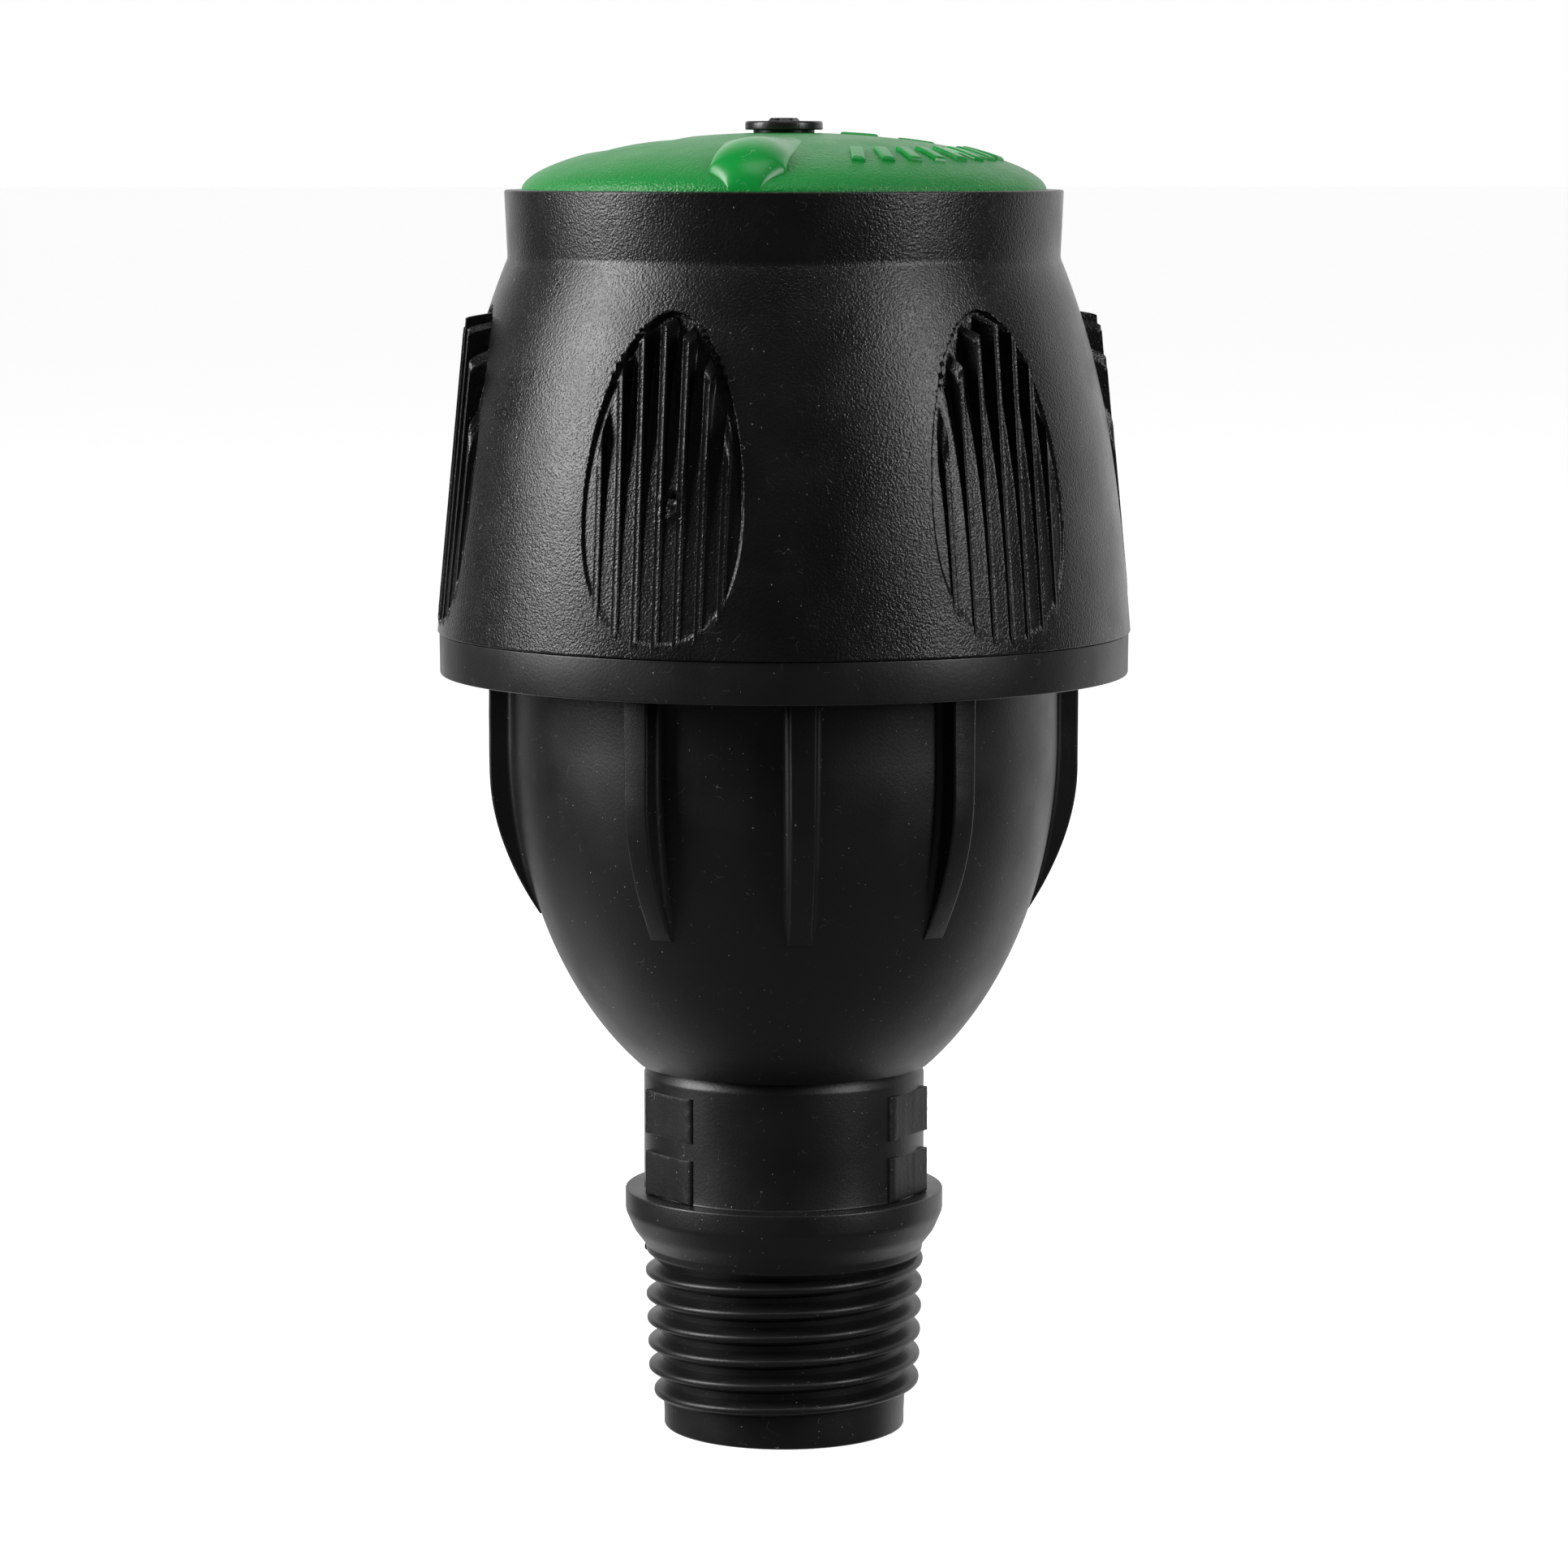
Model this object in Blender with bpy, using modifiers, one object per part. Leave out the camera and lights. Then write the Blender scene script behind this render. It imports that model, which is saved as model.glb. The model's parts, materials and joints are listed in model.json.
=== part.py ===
"""Pop-up rotary sprinkler head with a half-inch male inlet.

Water enters the threaded spigot, passes a flow regulator and a swirl plate, and drives two balls
round a race. They knock a hollow rotor round, and the rotor carries the green head and its nozzle.
Under pressure the rotor lifts the head out of the bell-shaped cover against a return spring.

The frame is metres, +Z up along the one axis that every turned piece shares. The origin is the
centre of the spigot's end face, and azimuth 0 is the front, at -Y, growing towards +X.
"""

import math

import bmesh
import bpy
from mathutils import Matrix, Vector

MM = 0.001
GAP = 0.3 * MM  # running or fitting gap between neighbouring pieces
ROUND_STEPS = 40
FINE_STEPS = 24
SMALL_STEPS = 16

# Inlet: half-inch taper pipe thread, 14 turns an inch
SPIGOT_R = 9.03 * MM
SPIGOT_TOP = 1.9 * MM
BORE_R = 6.8 * MM
THREAD_CREST_R = 10.48 * MM
THREAD_TAPER = 1 / 32  # loss of radius for each unit of height
THREAD_PITCH = 1.814 * MM
THREAD_TURNS = 6.0
THREAD_TOP = 13.55 * MM  # height of the crest where the ridge runs out, on the left
THREAD_START_AZIMUTH = -90
THREAD_ROOT_R = 9.35 * MM

# Collar, neck and spanner pads
COLLAR_R = 11.9 * MM
COLLAR_BOTTOM = 14.0 * MM
COLLAR_TOP = 18.16 * MM
NECK_R = 10.48 * MM
NECK_TOP = 27.1 * MM
NECK_BORE_R = 8.2 * MM
PAD_AZIMUTHS = (-60, 60, 180)
PAD_CENTRES = (19.85 * MM, 24.45 * MM)
PAD_SIZE = (5.9 * MM, 1.6 * MM, 3.3 * MM)
PAD_FACE = 10.42 * MM  # distance of the flat from the axis

# Bowl: an ellipse turned about the axis, open at its widest height
BOWL_R = 20.3 * MM
BOWL_CENTRE_Z = 52.0 * MM
BOWL_DEPTH = 28.8 * MM
BOWL_BOTTOM = 27.6 * MM
BOWL_INNER_R = 18.2 * MM
BOWL_INNER_DEPTH = 26.4 * MM
RIB_AZIMUTHS = (-147.5, -90, -32.5, 0, 32.5, 90, 147.5, 180)
RIB_R = 21.92 * MM
RIB_WIDTH = 1.9 * MM
RIB_BEND_Z = 50.0 * MM
RIB_CURVE = 30.6  # fall of radius per metre, times height below the bend squared
FLANGE_R = 25.53 * MM
FLANGE_BOTTOM = 56.98 * MM
FLANGE_TOP = 59.93 * MM
LEDGE_Z = 57.4 * MM
LEDGE_R = 19.6 * MM

# Bayonet between the body and the cover
UPSTAND_R = 21.9 * MM
UPSTAND_TOP = 67.0 * MM
LUG_AZIMUTHS = (-90, 30, 150)
BODY_LUG_R = 23.3 * MM
BODY_LUG_Z = (64.1 * MM, 65.9 * MM)
BODY_LUG_ANGLE = 36
COVER_LUG_R = 22.25 * MM
COVER_LUG_Z = (62.0 * MM, 63.8 * MM)
COVER_LUG_ANGLE = 30

# Cover: a bell with a round well for the head
COVER_BOTTOM = 60.23 * MM
BELL_R = 25.67 * MM
BELL_WALL = 1.7 * MM
BELL_TOP = 87.5 * MM
BELL_LEAN = 2.3 * MM
BELL_CURVE = 3.02 * MM
BAND_R = 20.35 * MM
RIM_R = 20.55 * MM
RIM_Z = 92.3 * MM
WELL_R = 19.45 * MM
WELL_FLOOR = 84.8 * MM
FLOOR_THICK = 1.7 * MM
BOSS_R = 8.5 * MM
BOSS_BORE_R = 6.5 * MM
BOSS_BOTTOM = 75.5 * MM
GRIP_AZIMUTHS = (-144.4, -84.4, -24.4, 35.6, 95.6, 155.6)
GRIP_Z = 70.0 * MM
GRIP_HALF_WIDTH = 6.05 * MM
GRIP_RISE = 14.1 * MM
GRIP_DROP = 8.9 * MM
GRIP_RIB_PITCH = 1.58 * MM
GRIP_RIB_WIDTH = 0.5 * MM
GRIP_RIB_R = (25.42 * MM, 23.5 * MM)  # crest radius at the low and the high end
GRIP_RIB_ENDS = (62.3 * MM, 83.0 * MM)
GRIP_DEPTH = 0.35 * MM

# Rotor, race and balls
SHAFT_R = 4.5 * MM
SHAFT_BORE_R = 3.2 * MM
SHAFT_BOTTOM = 41.5 * MM
SHAFT_TOP = 87.0 * MM
COLLAR_ON_SHAFT = (59.6 * MM, 61.2 * MM)
CLIP_GROOVE = (41.95 * MM, 43.05 * MM)
ANVIL_Z = (43.4 * MM, 47.6 * MM)
ANVIL_R = 6.4 * MM
BALL_R = 3.5 * MM
BALL_ORBIT_R = 10.2 * MM
BALL_Z = 51.8 * MM
RACE_FLOOR = 48.0 * MM
RACE_R = 14.0 * MM
RACE_OUTER_R = 15.6 * MM
SWIRL_Z = (37.3 * MM, 39.3 * MM)
SWIRL_R = 14.6 * MM

# Return spring, carried on the rotor's collar
SPRING_R = 10.0 * MM
SPRING_WIRE_R = 0.5 * MM
SPRING_Z = (63.9 * MM, 81.9 * MM)
SPRING_TURNS = 5

# Head: green cap over the nozzle arm
CAP_R = 19.1 * MM
CAP_RISE = 4.35 * MM
CAP_POWER = 1.8
CAP_WALL = 1.5 * MM
SKIRT_BOTTOM = 85.3 * MM
NOZZLE_AZIMUTH = -12
ARM_START_Z = 87.6 * MM
ARM_RISE_DEG = 8
ARM_R = 2.6 * MM
ARM_END = 15.8 * MM
JET_R = 1.25 * MM
HUB_R = 6.6 * MM
PIN_SEAT_Z = 96.2 * MM
PIN_FLANGE_R = 2.85 * MM
PIN_TOP = 97.73 * MM

BLACK = (0.012, 0.012, 0.013)
GREEN = (0.015, 0.28, 0.06)


def collection(name):
    """A new collection in the scene."""
    made = bpy.data.collections.new(name)
    bpy.context.scene.collection.children.link(made)
    return made


def clear_scene():
    """Take every object out of the file."""
    for obj in list(bpy.data.objects):
        bpy.data.objects.remove(obj, do_unlink=True)


def material(name, colour, roughness, metallic=0.0):
    """A Principled BSDF material of one colour."""
    made = bpy.data.materials.new(name)
    made.use_nodes = True
    shader = made.node_tree.nodes["Principled BSDF"]
    shader.inputs["Base Color"].default_value = (*colour, 1.0)
    shader.inputs["Roughness"].default_value = roughness
    shader.inputs["Metallic"].default_value = metallic
    return made


def polar(radius, azimuth, z=0.0):
    """The point at a radius and an azimuth in degrees."""
    turn = math.radians(azimuth)
    return Vector((radius * math.sin(turn), -radius * math.cos(turn), z))


def place(obj, where):
    """Put the object in one collection."""
    where.objects.link(obj)
    return obj


def add_part(obj, colour, roughness, metallic=0.0):
    """Make the object a sub-part with a material of its own."""
    obj.data.materials.append(material(obj.name, colour, roughness, metallic))
    return place(obj, parts)


def add_tool(obj):
    """Make the object a hidden Boolean tool."""
    obj.hide_render = True
    obj.display_type = "WIRE"
    return place(obj, tools)


def mesh_object(name, shape):
    """An object from a bmesh, with round faces shaded smooth."""
    mesh = bpy.data.meshes.new(name)
    shape.to_mesh(mesh)
    shape.free()
    mesh.shade_smooth()
    mesh.set_sharp_from_angle(angle=math.radians(35))
    return bpy.data.objects.new(name, mesh)


def turned(name, outline, steps=ROUND_STEPS):
    """Turn a closed outline of (radius, z) points, listed down the outer side, about the Z axis."""
    mesh = bpy.data.meshes.new(name)
    count = len(outline)
    edges = [(i, (i + 1) % count) for i in range(count)]
    mesh.from_pydata([(r, 0.0, z) for r, z in outline], edges, [])
    obj = bpy.data.objects.new(name, mesh)
    screw = obj.modifiers.new("turn", "SCREW")
    screw.steps = steps
    screw.render_steps = steps
    screw.use_normal_calculate = False
    return obj


def ring(name, inner, outer, bottom, top, steps=FINE_STEPS):
    """A plain ring."""
    outline = [(outer, top), (outer, bottom), (inner, bottom), (inner, top)]
    return turned(name, outline, steps)


def disc(name, radius, bottom, top, steps):
    """A plain upright cylinder."""
    shape = bmesh.new()
    bmesh.ops.create_cone(
        shape, cap_ends=True, segments=steps, radius1=radius, radius2=radius, depth=top - bottom,
        matrix=Matrix.Translation((0, 0, (bottom + top) / 2)),
    )
    return mesh_object(name, shape)


def rod(name, start, end, radius):
    """A cylinder from one point to another."""
    along = end - start
    turn = along.to_track_quat("Z", "Y").to_matrix().to_4x4()
    shape = bmesh.new()
    bmesh.ops.create_cone(
        shape, cap_ends=True, segments=SMALL_STEPS, radius1=radius, radius2=radius, depth=along.length,
        matrix=Matrix.Translation((start + end) / 2) @ turn,
    )
    return mesh_object(name, shape)


def block(name, size, radius, azimuth, z):
    """A box of size (across, radial, up), centred at a radius, an azimuth and a height."""
    shape = bmesh.new()
    turn = Matrix.Rotation(math.radians(azimuth), 4, "Z")
    grow = Matrix.Diagonal((*size, 1.0))
    bmesh.ops.create_cube(shape, size=1.0, matrix=Matrix.Translation(polar(radius, azimuth, z)) @ turn @ grow)
    return mesh_object(name, shape)


def arc_segment(name, inner, outer, bottom, top, middle_azimuth, spread):
    """A stretch of a ring, as a plate with a curved outline standing up by an extrude."""
    steps = 6
    angles = [middle_azimuth + spread * (i / steps - 0.5) for i in range(steps + 1)]
    points = [polar(outer, a) for a in angles] + [polar(inner, a) for a in reversed(angles)]
    return plate(name, points, top - bottom, Matrix.Translation((0, 0, (bottom + top) / 2)))


def plate(name, points, thickness, matrix):
    """A flat outline in XY given thickness about its plane, as a welded mesh, then placed."""
    curve = bpy.data.curves.new(name, "CURVE")
    curve.dimensions = "2D"
    curve.fill_mode = "BOTH"
    curve.extrude = thickness / 2
    spline = curve.splines.new("POLY")
    spline.points.add(len(points) - 1)
    for knot, point in zip(spline.points, points):
        knot.co = (point[0], point[1], 0.0, 1.0)
    spline.use_cyclic_u = True
    return meshed(bpy.data.objects.new(name, curve), matrix)


def wire(name, points, radius):
    """A round wire along the points, as a welded mesh with closed ends."""
    curve = bpy.data.curves.new(name, "CURVE")
    curve.dimensions = "3D"
    curve.bevel_depth = radius
    curve.bevel_resolution = 2
    curve.use_fill_caps = True
    spline = curve.splines.new("POLY")
    spline.points.add(len(points) - 1)
    for knot, point in zip(spline.points, points):
        knot.co = (*point, 1.0)
    return meshed(bpy.data.objects.new(name, curve), Matrix.Identity(4))


def meshed(guide, matrix):
    """The mesh of a curve object, its caps welded, moved by a matrix; the curve is removed."""
    name = guide.name
    bpy.context.scene.collection.objects.link(guide)
    evaluated = guide.evaluated_get(bpy.context.evaluated_depsgraph_get())
    shape = bmesh.new()
    shape.from_mesh(bpy.data.meshes.new_from_object(evaluated))
    bpy.data.objects.remove(guide, do_unlink=True)
    bmesh.ops.remove_doubles(shape, verts=shape.verts, dist=0.000001)
    bmesh.ops.recalc_face_normals(shape, faces=shape.faces)
    bmesh.ops.transform(shape, matrix=matrix, verts=shape.verts)
    return mesh_object(name, shape)


def boolean(target, tool, operation):
    """Cut the tool from the target, or join it on, with a live modifier."""
    add_tool(tool)
    modifier = target.modifiers.new(tool.name, "BOOLEAN")
    modifier.operation = operation
    modifier.object = tool
    modifier.solver = "EXACT"


def cut(target, *cutters):
    """Cut each tool from the target."""
    for cutter in cutters:
        boolean(target, cutter, "DIFFERENCE")


def join(target, *pieces):
    """Join each tool onto the target."""
    for piece in pieces:
        boolean(target, piece, "UNION")


def bowl_radius(z, radius=BOWL_R, depth=BOWL_DEPTH):
    """Radius of the turned ellipse at a height."""
    return radius * math.sqrt(1 - ((BOWL_CENTRE_Z - z) / depth) ** 2)


def heights(low, high, count):
    """Evenly spaced heights, both ends included."""
    return [low + (high - low) * i / (count - 1) for i in range(count)]


def bell_radius(z):
    """Outer radius of the bell: a straight lean plus a cubic curl towards the top."""
    t = (z - COVER_BOTTOM) / (BELL_TOP - COVER_BOTTOM)
    return BELL_R - BELL_LEAN * t - BELL_CURVE * t ** 3


def thread_ridge():
    """The thread's ridge: a flanked section screwed up the core, tapered, its two ends closed."""
    steps = 16
    base_r = THREAD_ROOT_R - 0.35 * MM
    section = [(THREAD_CREST_R, 0.08 * MM), (THREAD_CREST_R, -0.08 * MM)]
    section += [(THREAD_CREST_R - 0.13 * MM, -0.2 * MM), (base_r, -0.86 * MM)]
    section += [(base_r, 0.86 * MM), (THREAD_CREST_R - 0.13 * MM, 0.2 * MM)]
    low = THREAD_TOP - THREAD_TURNS * THREAD_PITCH
    guide = turned("guide_thread", [(r, low + z) for r, z in section], int(steps * THREAD_TURNS))
    screw = guide.modifiers["turn"]
    screw.angle = 2 * math.pi * THREAD_TURNS
    screw.screw_offset = THREAD_TOP - low
    bpy.context.scene.collection.objects.link(guide)
    evaluated = guide.evaluated_get(bpy.context.evaluated_depsgraph_get())
    shape = bmesh.new()
    shape.from_mesh(evaluated.to_mesh())
    bpy.data.objects.remove(guide, do_unlink=True)
    bmesh.ops.holes_fill(shape, edges=shape.edges, sides=len(section))
    bmesh.ops.recalc_face_normals(shape, faces=shape.faces)
    for vert in shape.verts:
        shrink = (THREAD_TOP - vert.co.z) * THREAD_TAPER / THREAD_CREST_R
        vert.co.xy *= 1 - shrink
    turn = Matrix.Rotation(math.radians(THREAD_START_AZIMUTH - 90 - 360 * THREAD_TURNS), 4, "Z")
    bmesh.ops.transform(shape, matrix=turn, verts=shape.verts)
    return mesh_object("tool_thread", shape)


def rib_outline():
    """The side view of a bowl rib as (radius, z), from the flange down to its toe and back."""
    toe = 39.2 * MM
    outer = [(RIB_R, FLANGE_BOTTOM + GAP)]
    for z in heights(RIB_BEND_Z, toe, 6):
        outer.append((RIB_R - RIB_CURVE * (RIB_BEND_Z - z) ** 2, z))
    return outer + [(17.6 * MM, toe), (19.3 * MM, FLANGE_BOTTOM + GAP)]


def upright(azimuth):
    """The matrix that stands a plate drawn as (radius, height) in the radial plane."""
    turn = Matrix.Rotation(math.radians(azimuth - 90), 4, "Z")
    return turn @ Matrix.Rotation(math.radians(90), 4, "X")


def lower_body():
    """Body: spigot, thread, collar, neck, ribbed bowl, flange and the bayonet upstand."""
    outline = [(UPSTAND_R, UPSTAND_TOP), (UPSTAND_R, FLANGE_TOP), (FLANGE_R, FLANGE_TOP)]
    outline += [(FLANGE_R, FLANGE_BOTTOM), (BOWL_R, FLANGE_BOTTOM)]
    outline += [(bowl_radius(z), z) for z in heights(BOWL_CENTRE_Z, BOWL_BOTTOM, 11)]
    outline += [(10.2 * MM, 27.4 * MM), (NECK_R, NECK_TOP - 0.5 * MM), (NECK_R, COLLAR_TOP)]
    outline += [(COLLAR_R, COLLAR_TOP), (COLLAR_R, COLLAR_TOP - 1.5 * MM), (11.3 * MM, 15.2 * MM)]
    outline += [(10.15 * MM, COLLAR_BOTTOM), (10.15 * MM, COLLAR_BOTTOM - 0.6 * MM)]
    outline += [(THREAD_ROOT_R, COLLAR_BOTTOM - 1.4 * MM), (THREAD_ROOT_R, SPIGOT_TOP)]
    outline += [(SPIGOT_R, SPIGOT_TOP - 0.3 * MM), (SPIGOT_R, 0.0), (BORE_R, 0.0), (BORE_R, 16.0 * MM)]
    outline += [(NECK_BORE_R, 16.0 * MM)]
    stop_r = 13.4 * MM
    inner = heights(28.43 * MM, 34.13 * MM, 3)
    outline += [(bowl_radius(z, BOWL_INNER_R, BOWL_INNER_DEPTH), z) for z in inner]
    outline += [(stop_r, 37.0 * MM)]
    inner = heights(37.0 * MM, BOWL_CENTRE_Z, 5)
    outline += [(bowl_radius(z, BOWL_INNER_R, BOWL_INNER_DEPTH), z) for z in inner]
    outline += [(BOWL_INNER_R, LEDGE_Z), (LEDGE_R, LEDGE_Z), (LEDGE_R, UPSTAND_TOP)]
    body = turned("lower_body", outline)
    join(body, thread_ridge())
    for azimuth in RIB_AZIMUTHS:
        join(body, plate(f"tool_rib_{azimuth}", rib_outline(), RIB_WIDTH, upright(azimuth)))
    for azimuth in LUG_AZIMUTHS:
        inner_r = UPSTAND_R - 0.5 * MM
        lug = arc_segment(f"tool_lug_{azimuth}", inner_r, BODY_LUG_R, *BODY_LUG_Z, azimuth, BODY_LUG_ANGLE)
        join(body, lug)
    for azimuth in PAD_AZIMUTHS:
        for z in PAD_CENTRES:
            radius = PAD_FACE - PAD_SIZE[1] / 2
            join(body, block(f"tool_pad_{azimuth}_{z:.4f}", PAD_SIZE, radius, azimuth, z))
    return add_part(body, BLACK, 0.5)


def cover_seal():
    """O-ring in the corner of the flange and the upstand."""
    thickness = 0.68 * MM
    middle_r = UPSTAND_R + GAP + thickness
    middle_z = FLANGE_TOP + GAP + thickness
    turns = [math.radians(90 - 45 * i) for i in range(8)]
    outline = [(middle_r + thickness * math.cos(a), middle_z + thickness * math.sin(a)) for a in turns]
    return add_part(turned("cover_seal", outline), (0.02, 0.02, 0.02), 0.6)


def regulator():
    """Flow regulator in the neck: a cage, a rubber diaphragm and the seat it closes against."""
    fit_r = NECK_BORE_R - GAP
    outline = [(6.3 * MM, 18.6 * MM), (6.3 * MM, 17.2 * MM), (fit_r, 17.2 * MM), (fit_r, 16.3 * MM)]
    outline += [(5.0 * MM, 16.3 * MM), (5.0 * MM, 18.6 * MM)]
    cage = turned("regulator_cage", outline, FINE_STEPS)
    for azimuth in (0, 90):
        join(cage, block(f"tool_cage_bar_{azimuth}", (10.6 * MM, 1.2 * MM, 1.2 * MM), 0.0, azimuth, 18.0 * MM))
    add_part(cage, (0.75, 0.75, 0.72), 0.45)
    diaphragm = ring("regulator_diaphragm", 1.0 * MM, 5.7 * MM, 18.9 * MM, 20.9 * MM)
    add_part(diaphragm, (0.02, 0.02, 0.02), 0.7)
    outline = [(fit_r, 23.0 * MM), (fit_r, 17.5 * MM), (6.6 * MM, 17.5 * MM), (6.6 * MM, 21.3 * MM)]
    outline += [(2.2 * MM, 21.3 * MM), (2.2 * MM, 23.0 * MM)]
    seat = turned("regulator_seat", outline, FINE_STEPS)
    for azimuth in (0, 90):
        groove_size = (7.6 * MM, 0.9 * MM, 0.8 * MM)
        cut(seat, block(f"tool_seat_groove_{azimuth}", groove_size, 0.0, azimuth, 21.5 * MM))
    add_part(seat, (0.75, 0.75, 0.72), 0.45)


def swirl_plate():
    """Plate whose slanting slots set the water spinning under the race."""
    low, high = SWIRL_Z
    made = disc("swirl_plate", SWIRL_R, low, high, ROUND_STEPS)
    slots = 6
    for i in range(slots):
        slot = block(f"tool_swirl_slot_{i}", (6.0 * MM, 1.8 * MM, 8.0 * MM), 9.8 * MM, 360 / slots * i, 0)
        centre = polar(9.8 * MM, 360 / slots * i)
        tangent = polar(1.0, 360 / slots * i)
        slot.data.transform(Matrix.Translation(-centre))
        slot.data.transform(Matrix.Rotation(math.radians(35), 4, tangent))
        slot.data.transform(Matrix.Translation(centre + Vector((0, 0, (low + high) / 2))))
        cut(made, slot)
    return add_part(made, (0.75, 0.75, 0.72), 0.45)


def ball_race():
    """Cup with an open middle: its floor and wall are the track, its skirt holds the swirl plate down."""
    top = LEDGE_Z + GAP
    outline = [(LEDGE_R - GAP, top + 1.5 * MM), (LEDGE_R - GAP, top), (RACE_OUTER_R, top)]
    outline += [(RACE_OUTER_R, 46.4 * MM), (14.5 * MM, 46.4 * MM), (14.5 * MM, SWIRL_Z[1] + GAP)]
    outline += [(13.5 * MM, SWIRL_Z[1] + GAP), (13.5 * MM, 46.4 * MM), (8.2 * MM, 46.4 * MM)]
    outline += [(8.2 * MM, RACE_FLOOR), (RACE_R - 1.0 * MM, RACE_FLOOR), (RACE_R, RACE_FLOOR + 1.0 * MM)]
    outline += [(RACE_R, top), (11.0 * MM, top), (11.0 * MM, top + 1.5 * MM)]
    return add_part(turned("ball_race", outline, 40), (0.7, 0.7, 0.66), 0.4)


def drive_ball(name, azimuth):
    """One steel ball on the track."""
    shape = bmesh.new()
    bmesh.ops.create_uvsphere(
        shape, u_segments=16, v_segments=8, radius=BALL_R,
        matrix=Matrix.Translation(polar(BALL_ORBIT_R, azimuth, BALL_Z)),
    )
    return add_part(mesh_object(name, shape), (0.6, 0.6, 0.62), 0.2, 1.0)


def rotor_shaft():
    """Hollow shaft that carries the water to the head, with a collar under the spring seat."""
    groove_r = 4.1 * MM
    collar_r = 7.6 * MM
    outline = [(SHAFT_R, SHAFT_TOP), (SHAFT_R, COLLAR_ON_SHAFT[1]), (collar_r, COLLAR_ON_SHAFT[1])]
    outline += [(collar_r, COLLAR_ON_SHAFT[0]), (SHAFT_R, COLLAR_ON_SHAFT[0])]
    outline += [(SHAFT_R, CLIP_GROOVE[1]), (groove_r, CLIP_GROOVE[1])]
    outline += [(groove_r, CLIP_GROOVE[0]), (SHAFT_R, CLIP_GROOVE[0])]
    outline += [(SHAFT_R, SHAFT_BOTTOM), (SHAFT_BORE_R, SHAFT_BOTTOM), (SHAFT_BORE_R, SHAFT_TOP)]
    return add_part(turned("rotor_shaft", outline, FINE_STEPS), (0.8, 0.8, 0.78), 0.35)


def drive_rotor():
    """Collar with four anvil ribs that the balls knock, fixed at the foot of the shaft."""
    made = ring("drive_rotor", SHAFT_R + GAP, 5.5 * MM, *ANVIL_Z)
    middle = (5.2 * MM + ANVIL_R) / 2
    depth = ANVIL_R - 5.2 * MM
    for azimuth in (0, 90, 180, 270):
        height = ANVIL_Z[1] - ANVIL_Z[0]
        rib = block(f"tool_anvil_{azimuth}", (1.0 * MM, depth, height), middle, azimuth, sum(ANVIL_Z) / 2)
        join(made, rib)
    return add_part(made, (0.7, 0.7, 0.66), 0.4)


def shaft_clip():
    """Split retaining ring in the shaft's groove."""
    made = ring("shaft_clip", 4.4 * MM, 5.9 * MM, CLIP_GROOVE[0] + GAP, CLIP_GROOVE[1] - GAP, SMALL_STEPS)
    cut(made, block("tool_clip_split", (1.4 * MM, 4.0 * MM, 4.0 * MM), 5.5 * MM, 45, sum(CLIP_GROOVE) / 2))
    return add_part(made, (0.6, 0.6, 0.62), 0.3, 1.0)


def carriage():
    """Thrust washer, spring seat and return spring: they ride up with the shaft but don't turn."""
    bore = SHAFT_R + GAP
    washer_bottom = COLLAR_ON_SHAFT[1] + GAP
    washer_top = washer_bottom + 0.6 * MM
    add_part(ring("thrust_washer", bore, 7.4 * MM, washer_bottom, washer_top), (0.85, 0.85, 0.83), 0.3)
    seat_bottom = washer_top + GAP
    seat_top = SPRING_Z[0] - GAP
    outline = [(6.6 * MM, 67.0 * MM), (6.6 * MM, seat_top), (11.8 * MM, seat_top), (11.8 * MM, seat_bottom)]
    outline += [(bore, seat_bottom), (bore, 67.0 * MM)]
    add_part(turned("spring_seat", outline, FINE_STEPS), (0.7, 0.7, 0.66), 0.4)
    steps = 14
    rise = SPRING_Z[1] - SPRING_Z[0] - 2 * SPRING_WIRE_R
    points = []
    for i in range(SPRING_TURNS * steps + 1):
        turn = i / steps
        z = SPRING_Z[0] + SPRING_WIRE_R + rise * turn / SPRING_TURNS
        points.append(polar(SPRING_R, 360 * turn, z))
    add_part(wire("return_spring", points, SPRING_WIRE_R), (0.62, 0.62, 0.64), 0.3, 1.0)


def grip_outline():
    """The egg of a hand grip as (across, up): blunt below, drawn out above."""
    points = []
    count = 20
    for i in range(count):
        turn = 2 * math.pi * i / count
        reach = GRIP_RISE if math.cos(turn) > 0 else GRIP_DROP
        points.append((GRIP_HALF_WIDTH * math.sin(turn), GRIP_Z + reach * math.cos(turn)))
    return points


def facing(radius, azimuth):
    """The matrix that stands a plate drawn as (across, up) facing outwards at a radius."""
    turn = Matrix.Rotation(math.radians(azimuth), 4, "Z")
    return turn @ Matrix.Translation((0, -radius, 0)) @ Matrix.Rotation(math.radians(90), 4, "X")


def grip_pocket(name, azimuth, skin):
    """Egg-shaped slice of the skin that lies round the bell, for one grip's sunk floor."""
    made = plate(name, grip_outline(), 12.0 * MM, facing(BELL_R, azimuth))
    limit = made.modifiers.new("skin", "BOOLEAN")
    limit.operation = "INTERSECT"
    limit.object = skin
    limit.solver = "EXACT"
    return made


def grip_skin():
    """A skin round the bell, from the floor of the grips outwards."""
    levels = heights(GRIP_Z + GRIP_RISE + 1.0 * MM, GRIP_Z - GRIP_DROP - 1.0 * MM, 7)
    outline = [(bell_radius(z) + 2.0 * MM, z) for z in levels]
    outline += [(bell_radius(z) - GRIP_DEPTH, z) for z in reversed(levels)]
    return add_tool(turned("tool_grip_skin", outline))


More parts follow.
